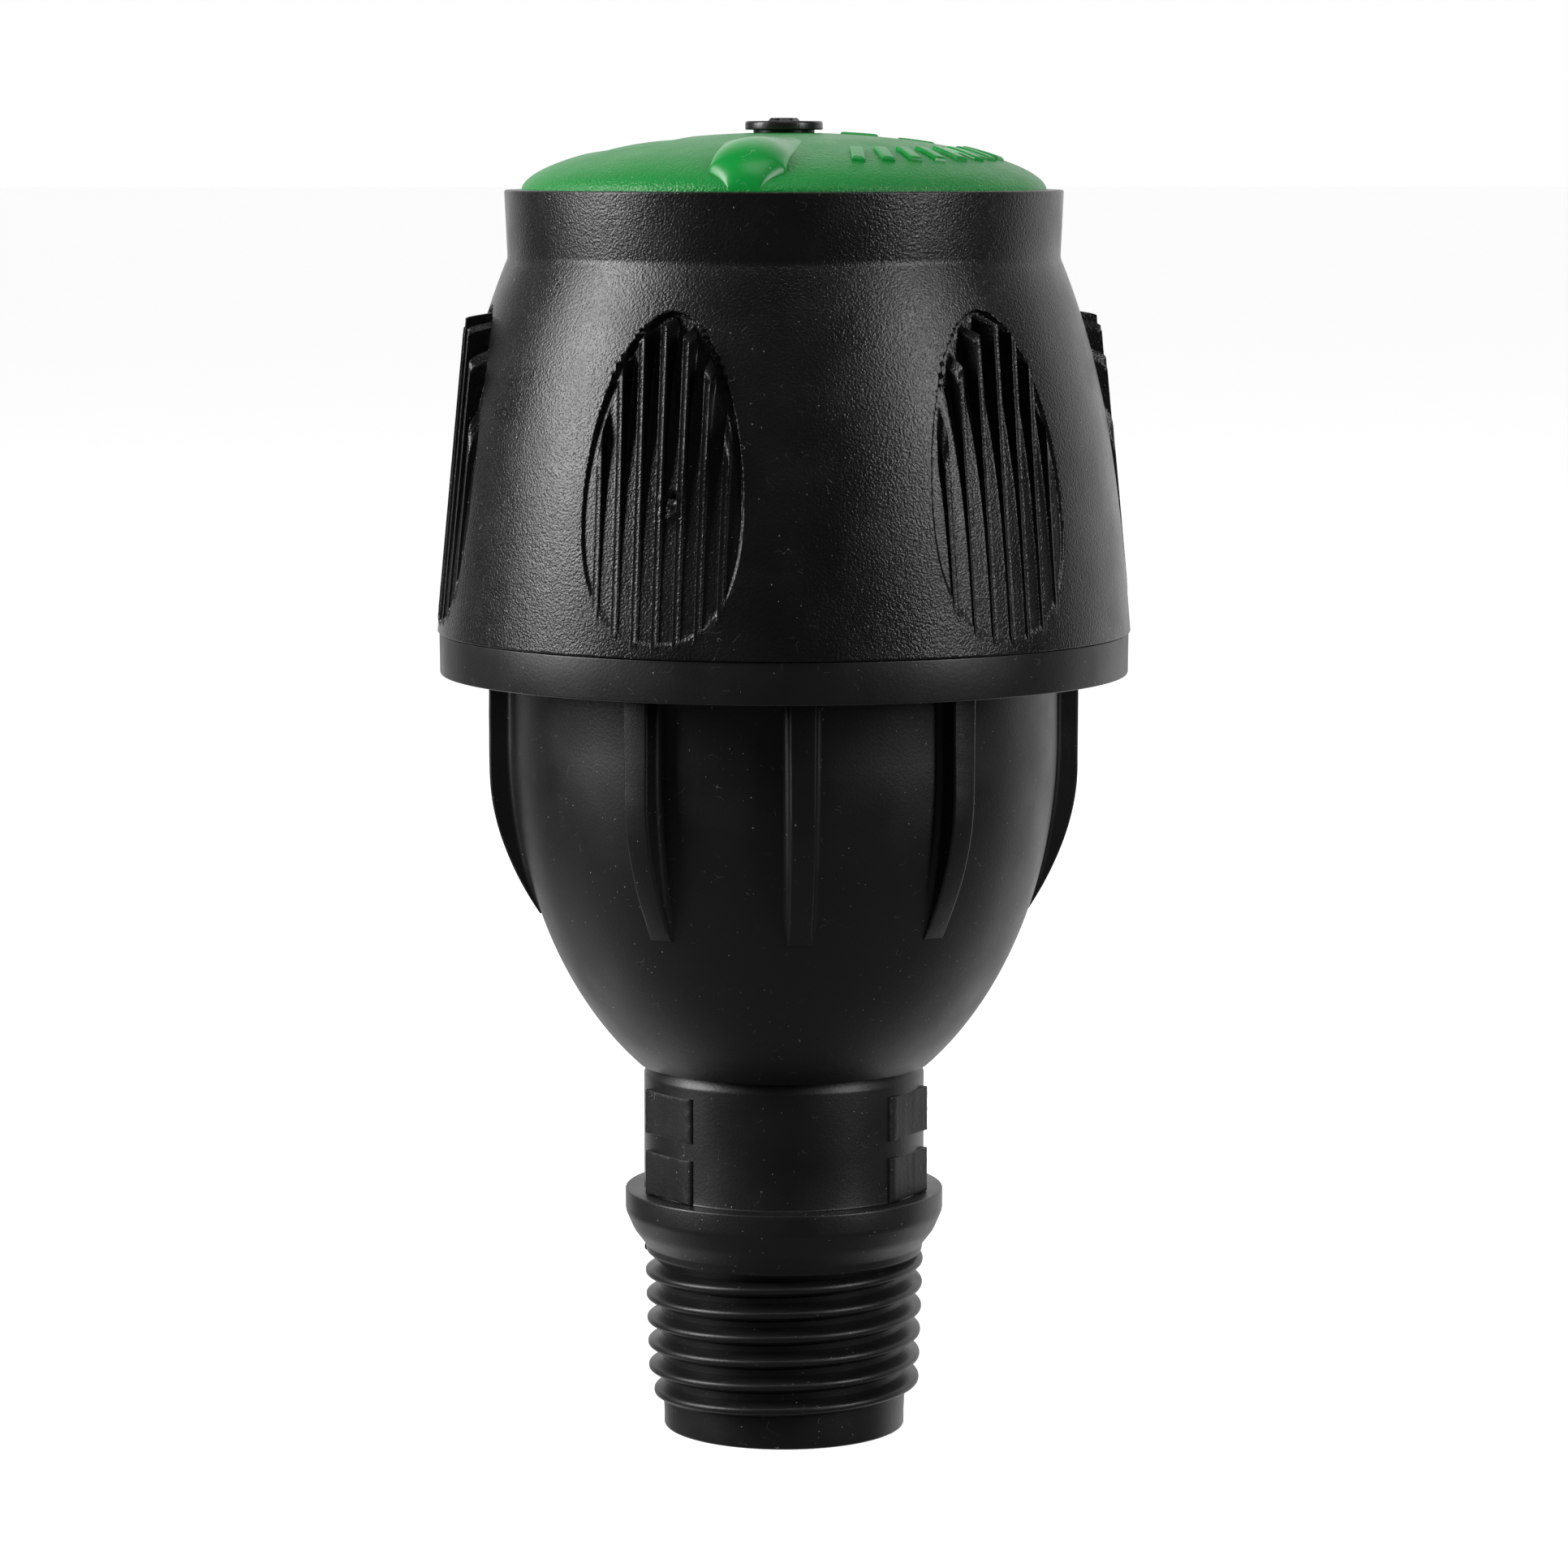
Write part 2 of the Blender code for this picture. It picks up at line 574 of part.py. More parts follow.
def grip_rib(name, across, azimuth):
    """One upright rib of a grip: its crest is straight and leans inwards to the top."""
    share = math.sqrt(1 - (across / GRIP_HALF_WIDTH) ** 2)
    high = GRIP_Z + GRIP_RISE * share - 0.6 * MM
    low = GRIP_Z - GRIP_DROP * share
    slope = (GRIP_RIB_R[1] - GRIP_RIB_R[0]) / (GRIP_RIB_ENDS[1] - GRIP_RIB_ENDS[0])

    def crest(z):
        return GRIP_RIB_R[0] + slope * (z - GRIP_RIB_ENDS[0])

    foot_high = bell_radius(high) - 0.9 * MM
    foot_low = bell_radius(low) - 0.9 * MM
    points = [(crest(high), high), (crest(low), low), (foot_low, low), (foot_high, high)]
    turn = Matrix.Rotation(math.radians(azimuth), 4, "Z")
    aside = Matrix.Translation((across, 0, 0))
    return plate(name, points, GRIP_RIB_WIDTH, turn @ aside @ upright(0))


def top_cover():
    """Cover: a bell with six hand grips, and a well at its top with a boss for the shaft bearing."""
    outline = [(RIM_R, RIM_Z), (BAND_R, BELL_TOP)]
    outline += [(bell_radius(z), z) for z in heights(BELL_TOP - 1.2 * MM, COVER_BOTTOM, 10)]
    inner = heights(COVER_BOTTOM, 80.5 * MM, 5)
    outline += [(bell_radius(z) - BELL_WALL, z) for z in inner]
    under = WELL_FLOOR - FLOOR_THICK
    outline += [(19.2 * MM, under), (BOSS_R, under), (BOSS_R, BOSS_BOTTOM), (BOSS_BORE_R, BOSS_BOTTOM)]
    outline += [(BOSS_BORE_R, WELL_FLOOR), (WELL_R, WELL_FLOOR), (WELL_R, RIM_Z)]
    made = turned("top_cover", outline)
    for azimuth in LUG_AZIMUTHS:
        outer = BELL_R - 0.9 * MM
        lug = arc_segment(f"tool_key_{azimuth}", COVER_LUG_R, outer, *COVER_LUG_Z, azimuth, COVER_LUG_ANGLE)
        join(made, lug)
    skin = grip_skin()
    for azimuth in GRIP_AZIMUTHS:
        cut(made, grip_pocket(f"tool_grip_{azimuth}", azimuth, skin))
        for i in range(-3, 4):
            join(made, grip_rib(f"tool_grip_rib_{azimuth}_{i}", i * GRIP_RIB_PITCH, azimuth))
    return add_part(made, BLACK, 0.6)


def cover_fittings():
    """Bearing sleeve, wiper seal and upper spring washer, carried by the cover."""
    bore = SHAFT_R + GAP
    fit = BOSS_BORE_R - GAP
    outline = [(7.4 * MM, 85.7 * MM), (7.4 * MM, WELL_FLOOR + GAP), (fit, WELL_FLOOR + GAP)]
    outline += [(fit, 77.5 * MM), (bore, 77.5 * MM), (bore, 85.7 * MM)]
    add_part(turned("bearing_sleeve", outline, FINE_STEPS), (0.8, 0.8, 0.78), 0.35)
    add_part(ring("wiper_seal", bore, fit, 75.9 * MM, 77.2 * MM), (0.02, 0.02, 0.02), 0.7)
    washer_top = WELL_FLOOR - FLOOR_THICK - GAP
    washer_bottom = SPRING_Z[1] + GAP
    washer = ring("spring_washer", BOSS_R + GAP, 12.0 * MM, washer_bottom, washer_top)
    add_part(washer, (0.6, 0.6, 0.62), 0.3, 1.0)


def arm_point(reach):
    """A point along the nozzle arm's axis, by its distance out from the shaft's axis."""
    return polar(reach, NOZZLE_AZIMUTH, ARM_START_Z + reach * math.tan(math.radians(ARM_RISE_DEG)))


def nozzle_carrier():
    """Elbow: a hub on the shaft's top, an arm towards the outlet, and a post for the cap's pin."""
    post_r = 3.2 * MM
    post_top = 94.4 * MM
    hub_top = 91.2 * MM
    chamber_top = 90.2 * MM
    socket_r = SHAFT_R + GAP
    outline = [(post_r, post_top), (post_r, hub_top), (HUB_R, hub_top), (HUB_R, 86.0 * MM)]
    outline += [(socket_r, 86.0 * MM), (socket_r, SHAFT_TOP + GAP), (3.4 * MM, SHAFT_TOP + GAP)]
    outline += [(3.4 * MM, chamber_top), (0.0, chamber_top), (0.0, 91.7 * MM), (1.6 * MM, 91.7 * MM)]
    outline += [(1.6 * MM, post_top)]
    made = turned("nozzle_carrier", outline, FINE_STEPS)
    join(made, rod("tool_arm", arm_point(5.6 * MM), arm_point(ARM_END), ARM_R))
    cut(made, rod("tool_arm_bore", arm_point(1.0 * MM), arm_point(ARM_END + 1.0 * MM), 1.5 * MM))
    cut(made, rod("tool_arm_seat", arm_point(12.0 * MM), arm_point(ARM_END + 1.0 * MM), 2.1 * MM))
    return add_part(made, (0.7, 0.7, 0.66), 0.4)


def nozzle_insert():
    """Jet nozzle pushed into the end of the arm."""
    made = rod("nozzle_insert", arm_point(12.4 * MM), arm_point(ARM_END + 0.9 * MM), 1.8 * MM)
    join(made, rod("tool_nozzle_flange", arm_point(ARM_END + GAP), arm_point(ARM_END + 1.2 * MM), ARM_R))
    cut(made, rod("tool_jet", arm_point(12.0 * MM), arm_point(ARM_END + 2.0 * MM), JET_R))
    return add_part(made, (0.9, 0.7, 0.05), 0.35)


def head_cap():
    """Green cap: a shallow dome with a skirt, a hood over the nozzle arm and a window for the jet."""
    count = 8
    reach = [CAP_R * math.sin(math.pi / 2 * i / count) for i in range(1, count + 1)]
    hole_r = 1.6 * MM
    recess_r = 2.6 * MM

    def dome(r, size, rise):
        return rise * max(0.0, 1 - (r / size) ** 2) ** (1 / CAP_POWER)

    outline = [(recess_r, PIN_SEAT_Z), (recess_r, RIM_Z + dome(recess_r, CAP_R, CAP_RISE))]
    outline += [(r, RIM_Z + dome(r, CAP_R, CAP_RISE)) for r in reach if r > 3.0 * MM]
    outline += [(CAP_R, SKIRT_BOTTOM)]
    inner_r = CAP_R - CAP_WALL
    inner = [inner_r * math.sin(math.pi / 2 * i / 6) for i in range(6, 0, -1)]
    low = RIM_Z - 0.7 * MM
    outline += [(inner_r, SKIRT_BOTTOM)]
    outline += [(r, low + dome(r, inner_r, CAP_RISE - CAP_WALL + 0.7 * MM)) for r in inner if r > 3.0 * MM]
    outline += [(hole_r, 94.95 * MM), (hole_r, PIN_SEAT_Z)]
    made = turned("head_cap", outline)
    shape = bmesh.new()
    middle = Matrix.Translation(polar(13.0 * MM, NOZZLE_AZIMUTH, 94.0 * MM))
    turn = Matrix.Rotation(math.radians(NOZZLE_AZIMUTH), 4, "Z")
    grow = Matrix.Diagonal((2.75, 6.05, 2.3, 1.0))
    bmesh.ops.create_uvsphere(shape, u_segments=20, v_segments=12, radius=1.0 * MM, matrix=middle @ turn @ grow)
    join(made, mesh_object("tool_hood", shape))
    cut(made, rod("tool_arm_room", arm_point(0.5 * MM), arm_point(17.2 * MM), ARM_R + GAP))
    cut(made, rod("tool_jet_window", arm_point(16.0 * MM), arm_point(22.0 * MM), JET_R + 0.25 * MM))
    return add_part(made, GREEN, 0.35)


def cap_pin():
    """Pin that holds the cap down on the carrier's post."""
    stem_r = 1.3 * MM
    neck_r = 2.25 * MM
    stub_r = 1.1 * MM
    flange = (96.9 * MM, 97.45 * MM)
    outline = [(0.0, PIN_TOP), (stub_r, PIN_TOP), (stub_r, flange[1]), (PIN_FLANGE_R, flange[1])]
    outline += [(PIN_FLANGE_R, flange[0]), (neck_r, flange[0]), (neck_r, PIN_SEAT_Z + GAP)]
    outline += [(stem_r, PIN_SEAT_Z + GAP), (stem_r, 92.0 * MM), (0.0, 92.0 * MM)]
    return add_part(turned("cap_pin", outline, SMALL_STEPS), BLACK, 0.35)


def build():
    """Make every sub-part of the sprinkler head."""
    lower_body()
    cover_seal()
    regulator()
    swirl_plate()
    ball_race()
    drive_ball("drive_ball_1", 60)
    drive_ball("drive_ball_2", 240)
    rotor_shaft()
    drive_rotor()
    shaft_clip()
    carriage()
    top_cover()
    cover_fittings()
    nozzle_carrier()
    nozzle_insert()
    head_cap()
    cap_pin()


clear_scene()
parts = collection("sprinkler_head")
tools = collection("boolean_tools")
build()
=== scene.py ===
"""Fine surfaces, materials, light and camera for the pop-up rotary sprinkler head."""

import json
import math

import bmesh
import bpy
import numpy as np
from mathutils import Euler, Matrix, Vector


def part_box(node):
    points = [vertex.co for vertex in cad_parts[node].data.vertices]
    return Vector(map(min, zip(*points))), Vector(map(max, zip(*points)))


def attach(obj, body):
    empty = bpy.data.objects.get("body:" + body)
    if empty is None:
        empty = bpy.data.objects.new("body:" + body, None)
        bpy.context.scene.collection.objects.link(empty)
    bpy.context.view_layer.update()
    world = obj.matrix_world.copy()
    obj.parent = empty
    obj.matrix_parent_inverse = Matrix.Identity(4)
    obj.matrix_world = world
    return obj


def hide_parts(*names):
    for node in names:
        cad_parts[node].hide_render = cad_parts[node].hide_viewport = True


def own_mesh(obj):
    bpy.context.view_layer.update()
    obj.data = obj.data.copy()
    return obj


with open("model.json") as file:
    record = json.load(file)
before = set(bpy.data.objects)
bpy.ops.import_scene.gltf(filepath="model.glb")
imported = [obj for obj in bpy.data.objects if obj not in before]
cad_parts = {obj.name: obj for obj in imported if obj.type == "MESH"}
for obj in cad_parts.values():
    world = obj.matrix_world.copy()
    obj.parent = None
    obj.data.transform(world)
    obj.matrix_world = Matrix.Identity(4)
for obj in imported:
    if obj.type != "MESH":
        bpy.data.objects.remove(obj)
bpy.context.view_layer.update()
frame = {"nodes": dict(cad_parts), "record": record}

bl_info = {
    "name": "Sprinkler Head Surfaces",
    "version": (1, 0, 0),
    "blender": (4, 5, 0),
    "location": "View3D > Sidebar > Sprinkler",
    "description": "Builds the visible surfaces and finishes of a pop-up rotary sprinkler head",
    "category": "Object",
}

MM = 0.001
BODY_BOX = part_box("lower_body")
COVER_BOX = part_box("top_cover")
PIN_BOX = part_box("cap_pin")
SPRING_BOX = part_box("return_spring")
ROUND = 240  # columns round a turned piece
SHARP_ANGLE = math.radians(38)  # edges that bend more than this stay sharp

# Body, from its foot up
SPIGOT_R = 9.03 * MM
BORE_R = 6.8 * MM
BORE_TOP = 16.0 * MM
CHAMBER_R = 8.2 * MM
COLLAR_R = 11.9 * MM
COLLAR_TOP = 18.16 * MM
NECK_R = 10.48 * MM
BOWL_CENTRE_Z = 52.0 * MM
BOWL_FOOT_Z = 27.7 * MM
BOWL_WALL = 2.1 * MM
FLANGE_Z = (56.98 * MM, 60.04 * MM)
UPSTAND_R = (19.6 * MM, 21.9 * MM)
UPSTAND_TOP = 67.0 * MM
THREAD_TOP = 13.58 * MM
THREAD_TAPER = 1 / 32
THREAD_TURNS = 6.35
THREAD_HEIGHT = 1.12 * MM

# Ribs of the bowl: the straight upper part, the curve under it and the toe
RIB_AZIMUTHS = (-147.5, -90, -32.5, 0, 32.5, 90, 147.5, 180)
RIB_BEND_Z = 50.0 * MM
RIB_CURVE = 30.6
RIB_TOE_Z = 39.05 * MM
RIB_HALF_WIDTH = (0.86 * MM, 1.0 * MM)  # at the toe and at the flange

# Spanner pads: azimuth, left side, right side, and how wide each side is rounded, in mm
PADS = ((-57, -3.2, 2.5, 0.12, 0.7), (57, -2.5, 3.2, 0.7, 0.12), (180, -2.95, 2.95, 0.12, 0.12))
PAD_Z = ((18.2 * MM, 21.5 * MM), (22.8 * MM, 26.1 * MM))
PAD_FACE = 10.52 * MM
PAD_EDGE = 0.12 * MM
PAD_DEPTH = 1.6 * MM

# Lock between body and cover: lugs on the upstand, keys in the bell
LOCK_AZIMUTHS = (-90, 30, 150)
LUG_R = (21.5 * MM, 23.3 * MM)
LUG_Z = (64.1 * MM, 65.9 * MM)
LUG_HALF_ANGLE = 18
KEY_R = (22.25 * MM, 24.2 * MM)
KEY_Z = (62.0 * MM, 63.8 * MM)
KEY_HALF_ANGLE = 15

# Cover
BELL_BOTTOM = 60.07 * MM
BELL_TOP = 87.5 * MM
BELL_LEAN = 2.3 * MM
BELL_CURL = 3.02 * MM
BELL_WALL = 1.7 * MM
BELL_EDGE = 0.1 * MM
PANEL_HALF = math.radians(30)  # half the angle of one panel of the bell
WELL_SEAM_Z = 87.0 * MM  # where the panels end and the well begins
BAND_R = 20.33 * MM
RIM_Z = 92.5 * MM
WELL_FLOOR = 84.8 * MM
WELL_UNDERSIDE = 83.1 * MM
BOSS_R = (6.5 * MM, 8.5 * MM)
BOSS_BOTTOM = 75.5 * MM

# Finger grips: an egg that is sunk into the bell, with seven upright ribs in it
GRIP_AZIMUTHS = (-144.4, -84.4, -24.4, 35.6, 95.6, 155.6)
GRIP_Z = 70.0 * MM
GRIP_RISE, GRIP_RISE_POWER = 14.15 * MM, 1.85
GRIP_FALL, GRIP_FALL_POWER = 8.9 * MM, 2.35
GRIP_DEPTH_Z = (61.0 * MM, 66.0 * MM, 72.0 * MM, 84.0 * MM)
GRIP_DEPTH = (0.10 * MM, 0.16 * MM, 0.24 * MM, 0.56 * MM)  # how far it is sunk at those heights
GRIP_CREST_Z = (61.0 * MM, 83.0 * MM)
GRIP_CREST_R = (25.64 * MM, 23.52 * MM)
GRIP_RIB_EDGE = (0.2 * MM, 0.3 * MM)  # a rib's side falls between these distances from its middle
SCAR_GRIP = 2
SCAR = (0.8 * MM, 70.9 * MM)  # gate scar: how far across the grip, and its height

# Green cap
NOZZLE_AZIMUTH = math.radians(-12.0)
OUTLET_Z = 90.3 * MM
OUTLET_EDGE = (1.25 * MM, 1.6 * MM)
OUTLET_DEPTH = 1.4 * MM
SCOOP_X, SCOOP_HALF_LENGTH = -10.5 * MM, 4.1 * MM
SCOOP_REACH, SCOOP_DEPTH = 5.4 * MM, 0.22 * MM
HOOD_CREST = (7.0 * MM, 13.2 * MM, 19.26 * MM)  # where it starts, bends down and ends
HOOD_HALF_WIDTH, HOOD_DRAW_IN = 2.75 * MM, 1.55 * MM
HOOD_RISE = 3.86 * MM
MARK_HEIGHT, MARK_EDGE, MARK_DEPTH = 0.3 * MM, 0.22 * MM, 0.8 * MM

# Stage: each softbox is (azimuth, distance, height, width, tall, watts)
SOFTBOXES = {
    "left_softbox": (-84, 0.55, 0.30, 0.24, 0.45, 5.1),
    "right_softbox": (53, 0.60, 0.32, 0.09, 0.45, 2.3),
    "front_softbox": (5, 0.22, 0.85, 0.4, 0.4, 1.1),
}
LIGHT_AIM_Z = 0.055
FLOOR_HALF, FLOOR_Z = 12.0, -0.02 * MM
CAMERA_AZIMUTH, CAMERA_PITCH = math.radians(-3.6), math.radians(6.8)
CAMERA_DISTANCE, CAMERA_HEIGHT, CAMERA_LENS = 395.9 * MM, 95.7 * MM, 122.9


def metres(name, description, default):
    """A length that the user can set."""
    return bpy.props.FloatProperty(name=name, description=description, default=default, unit="LENGTH")


def tint(name, description, default):
    """A colour that the user can set."""
    return bpy.props.FloatVectorProperty(
        name=name, description=description, default=default, subtype="COLOR", min=0, max=1)


class SprinklerSizes(bpy.types.PropertyGroup):
    """Sizes of the sprinkler head's surfaces."""

    bowl_radius: metres("Bowl radius", "Widest outer radius of the bowl", 20.3 * MM)
    bowl_depth: metres("Bowl depth", "Half height of the ellipse that the bowl follows", 28.8 * MM)
    rib_radius: metres("Rib radius", "Outer radius of the bowl's ribs", 21.92 * MM)
    flange_radius: metres("Flange radius", "Outer radius of the flange under the cover", BODY_BOX[1][0])
    bell_radius: metres("Bell radius", "Radius of the cover at its foot", COVER_BOX[1][0])
    rim_radius: metres("Rim radius", "Outer radius of the cover's rim", 20.55 * MM)
    well_radius: metres("Well radius", "Radius of the well that the head sits in", 19.45 * MM)
    grip_half_width: metres("Grip half width", "Half the width of a finger grip", 6.05 * MM)
    grip_rib_pitch: metres("Grip rib pitch", "Distance between the ribs of a finger grip", 1.58 * MM)
    thread_radius: metres("Thread radius", "Crest radius of the inlet thread at its top", 10.48 * MM)
    thread_pitch: metres("Thread pitch", "Rise of the inlet thread in one turn", 1.814 * MM)
    dome_radius: metres("Dome radius", "Radius of the green cap", 19.28 * MM)
    dome_rise: metres("Dome rise", "Height of the green cap's dome above the rim", 4.17 * MM)


class SprinklerColours(bpy.types.PropertyGroup):
    """Colours of the sprinkler head's plastics."""

    black: tint("Black plastic", "Colour of the body and the cover", (0.0049, 0.0045, 0.0047))
    green: tint("Green plastic", "Colour of the head cap", (0.0038, 0.215, 0.033))
    natural: tint("Natural plastic", "Colour of the inner moulded pieces", (0.62, 0.60, 0.53))
    jet: tint("Jet plastic", "Colour of the nozzle insert", (0.78, 0.50, 0.02))


# Mesh making


def surface(name, points, wrap_rows=False, wrap_columns=False, caps=False):
    """An object from a grid of points (rows, columns, 3).

    Each cell of the grid is one quad; a wrapped direction joins its last line to its first, and
    caps close every loop of edges that is left open with a face of its own.
    """
    rows, columns = points.shape[:2]
    index = np.arange(rows * columns).reshape(rows, columns)
    index = np.vstack([index, index[:1]]) if wrap_rows else index
    index = np.hstack([index, index[:, :1]]) if wrap_columns else index
    quads = np.stack([index[:-1, :-1], index[:-1, 1:], index[1:, 1:], index[1:, :-1]], axis=-1)
    quads = quads.reshape(-1, 4)
    mesh = bpy.data.meshes.new(name)
    mesh.vertices.add(rows * columns)
    mesh.vertices.foreach_set("co", np.ascontiguousarray(points, np.float32).ravel())
    mesh.loops.add(quads.size)
    mesh.loops.foreach_set("vertex_index", np.ascontiguousarray(quads, np.int32).ravel())
    mesh.polygons.add(len(quads))
    mesh.polygons.foreach_set("loop_start", np.arange(0, quads.size, 4, dtype=np.int32))
    mesh.update(calc_edges=True)
    shape = bmesh.new()
    shape.from_mesh(mesh)
    if caps:
        open_edges = [edge for edge in shape.edges if edge.is_boundary]
        bmesh.ops.holes_fill(shape, edges=open_edges, sides=0)
    bmesh.ops.remove_doubles(shape, verts=shape.verts, dist=1e-7)
    bmesh.ops.recalc_face_normals(shape, faces=shape.faces)
    shape.to_mesh(mesh)
    shape.free()
    mesh.shade_smooth()
    mesh.set_sharp_from_angle(angle=SHARP_ANGLE)
    made = bpy.data.objects.new(name, mesh)
    bpy.context.scene.collection.objects.link(made)
    return made


def finish_piece(made, material, slot, body, *nodes):
    """Give the piece its material, and let it stand for CAD nodes and ride on their body; the slot is not
    used.
    """
    made.data.materials.clear()
    made.data.materials.append(material)
    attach(made, body)
    if nodes:
        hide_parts(*nodes)


def filleted(corners, radii, steps=6):
    """Round an outline's corners: each is swapped for an arc that is tangent to both its sides.

    The arc starts and ends radius / tan(half the angle) away from the corner. A radius of 0 keeps
    the corner sharp.
    """
    corners = np.asarray(corners, float)
    out = []
    count = len(corners)
    for i, (corner, radius) in enumerate(zip(corners, radii)):
        before = corners[i - 1] - corner
        after = corners[(i + 1) % count] - corner
        before_len, after_len = np.hypot(*before), np.hypot(*after)
        before, after = before / before_len, after / after_len
        half = math.acos(np.clip(before @ after, -1, 1)) / 2
        if radius == 0 or half > math.radians(88):
            out.append(corner[None])
            continue
        reach = min(radius / math.tan(half), 0.48 * before_len, 0.48 * after_len)
        radius = reach * math.tan(half)
        middle = corner + (before + after) / np.hypot(*(before + after)) * radius / math.sin(half)
        start, end = corner + before * reach - middle, corner + after * reach - middle
        a0 = math.atan2(start[1], start[0])
        sweep = (math.atan2(end[1], end[0]) - a0 + math.pi) % (2 * math.pi) - math.pi
        angles = a0 + sweep * np.linspace(0, 1, steps)
        out.append(middle + radius * np.stack([np.cos(angles), np.sin(angles)], 1))
    return np.concatenate(out)


def around(radius, azimuth, z):
    """Points at a radius, an azimuth in radians (0 at the front, -Y, towards +X) and a height."""
    radius, azimuth, z = np.broadcast_arrays(radius, azimuth, z)
    return np.stack([radius * np.sin(azimuth), -radius * np.cos(azimuth), z], -1)


def facing(across, out, z, azimuth):
    """Points at a distance across and out from the axis, in a frame that faces an azimuth."""
    x = across * math.cos(azimuth) + out * math.sin(azimuth)
    y = across * math.sin(azimuth) - out * math.cos(azimuth)
    return np.stack([x, y, z], -1)


def turned(name, outline):
    """A turned piece: the closed outline of (radius, z) carried round the Z axis."""
    turn = np.linspace(0, 2 * np.pi, ROUND, endpoint=False)
    outline = np.asarray(outline)
    points = around(outline[:, :1], turn[None], outline[:, 1:])
    return surface(name, points, wrap_rows=True, wrap_columns=True)


def ramp(low, high, x):
    """A smooth step: 0 below low, 1 above high, 3t^2 - 2t^3 between."""
    t = np.clip((x - low) / (high - low), 0, 1)
    return t * t * (3 - 2 * t)


def ripple(seed, *coordinates):
    """A smooth random wobble in -1..1: the mean of eight sine waves with random slants."""
    rng = np.random.default_rng(seed)
    total = 0
    for _ in range(8):
        slant = rng.normal(size=len(coordinates))
        phase = rng.uniform(0, 2 * np.pi)
        total = total + np.sin(sum(k * c for k, c in zip(slant, coordinates)) + phase)
    return total / 8


# Shapes shared by several pieces


def bent_bar(name, radii, heights, rounding, azimuth, half_angle, columns):
    """A bar bent round the Z axis: a rectangle of radii and heights carried through an arc.

    The rounding is one radius for each corner: inner high, outer high, outer low, inner low.
    """
    (inner, outer), (low, high) = radii, heights
    outline = filleted([(inner, high), (outer, high), (outer, low), (inner, low)], rounding)
    turn = np.radians(azimuth + np.linspace(-half_angle, half_angle, columns))[:, None]
    points = around(outline[None, :, 0], turn, outline[None, :, 1])
    return surface(name, points, wrap_columns=True, caps=True)


def bowl_radius_at(z, sizes):
    """Radius of the bowl: a half ellipse about its widest height, straight above it."""
    below = np.clip((BOWL_CENTRE_Z - z) / sizes.bowl_depth, 0, 0.999)
    return sizes.bowl_radius * np.sqrt(1 - below ** 2)


def bell_radius_at(z, sizes):
    """Radius of the bell: a straight lean and a cubic curl towards its top."""
    t = (z - BELL_BOTTOM) / (BELL_TOP - BELL_BOTTOM)
    return sizes.bell_radius - BELL_LEAN * t - BELL_CURL * t ** 3


def dome_height_at(r, sizes):
    """Height of the green dome: its rise times (1 - (r / R)^2)^(1 / 1.8)."""
    share = np.clip(1 - (r / sizes.dome_radius) ** 2, 0, 1)
    return RIM_Z + sizes.dome_rise * share ** (1 / 1.8)


# Materials


def node(tree, kind, **inputs):
    """A shader node with some of its inputs set; spaces in input names are written as underscores."""
    made = tree.nodes.new(kind)
    for key, value in inputs.items():
        made.inputs[key.replace("_", " ")].default_value = value
    return made


def noise(tree, place, scale, detail=2.0, stretch=None, roughness=0.5):
    """Noise in object space, optionally squeezed along the axes; returns its value socket."""
    made = node(tree, "ShaderNodeTexNoise", Scale=scale, Detail=detail, Roughness=roughness)
    socket = place
    if stretch:
        mapping = node(tree, "ShaderNodeMapping", Scale=stretch)
        tree.links.new(place, mapping.inputs["Vector"])
        socket = mapping.outputs["Vector"]
    tree.links.new(socket, made.inputs["Vector"])
    return made.outputs["Fac"]


def spread(tree, socket, low, high, to_low, to_high):
    """Map a value range onto another."""
    made = node(tree, "ShaderNodeMapRange", From_Min=low, From_Max=high, To_Min=to_low, To_Max=to_high)
    tree.links.new(socket, made.inputs["Value"])
    return made.outputs["Result"]


def combine(tree, operation, first, second):
    """Two values put together by a named operation."""
    made = tree.nodes.new("ShaderNodeMath")
    made.operation = operation
    tree.links.new(first, made.inputs[0])
    tree.links.new(second, made.inputs[1])
    return made.outputs[0]


def bump(tree, height, distance, strength=1.0, under=None):
    """A bump of a real height in metres, over another bump if there is one."""
    made = node(tree, "ShaderNodeBump", Distance=distance, Strength=strength)
    tree.links.new(height, made.inputs["Height"])
    if under is not None:
        tree.links.new(under, made.inputs["Normal"])
    return made.outputs["Normal"]


def blend_colour(tree, factor, first, second):
    """A colour that goes from the first to the second with the factor; either may be a socket."""
    made = tree.nodes.new("ShaderNodeMix")
    made.data_type = "RGBA"
    tree.links.new(factor, made.inputs["Factor"])
    for key, colour in (("A", first), ("B", second)):
        socket = [s for s in made.inputs if s.name == key and s.type == "RGBA"][0]
        if isinstance(colour, bpy.types.NodeSocket):
            tree.links.new(colour, socket)
        else:
            socket.default_value = (*colour, 1.0)
    return [s for s in made.outputs if s.type == "RGBA"][0]


def shaded(colour, factor):
    """A colour made lighter or darker."""
    return tuple(min(1.0, c * factor) for c in colour)


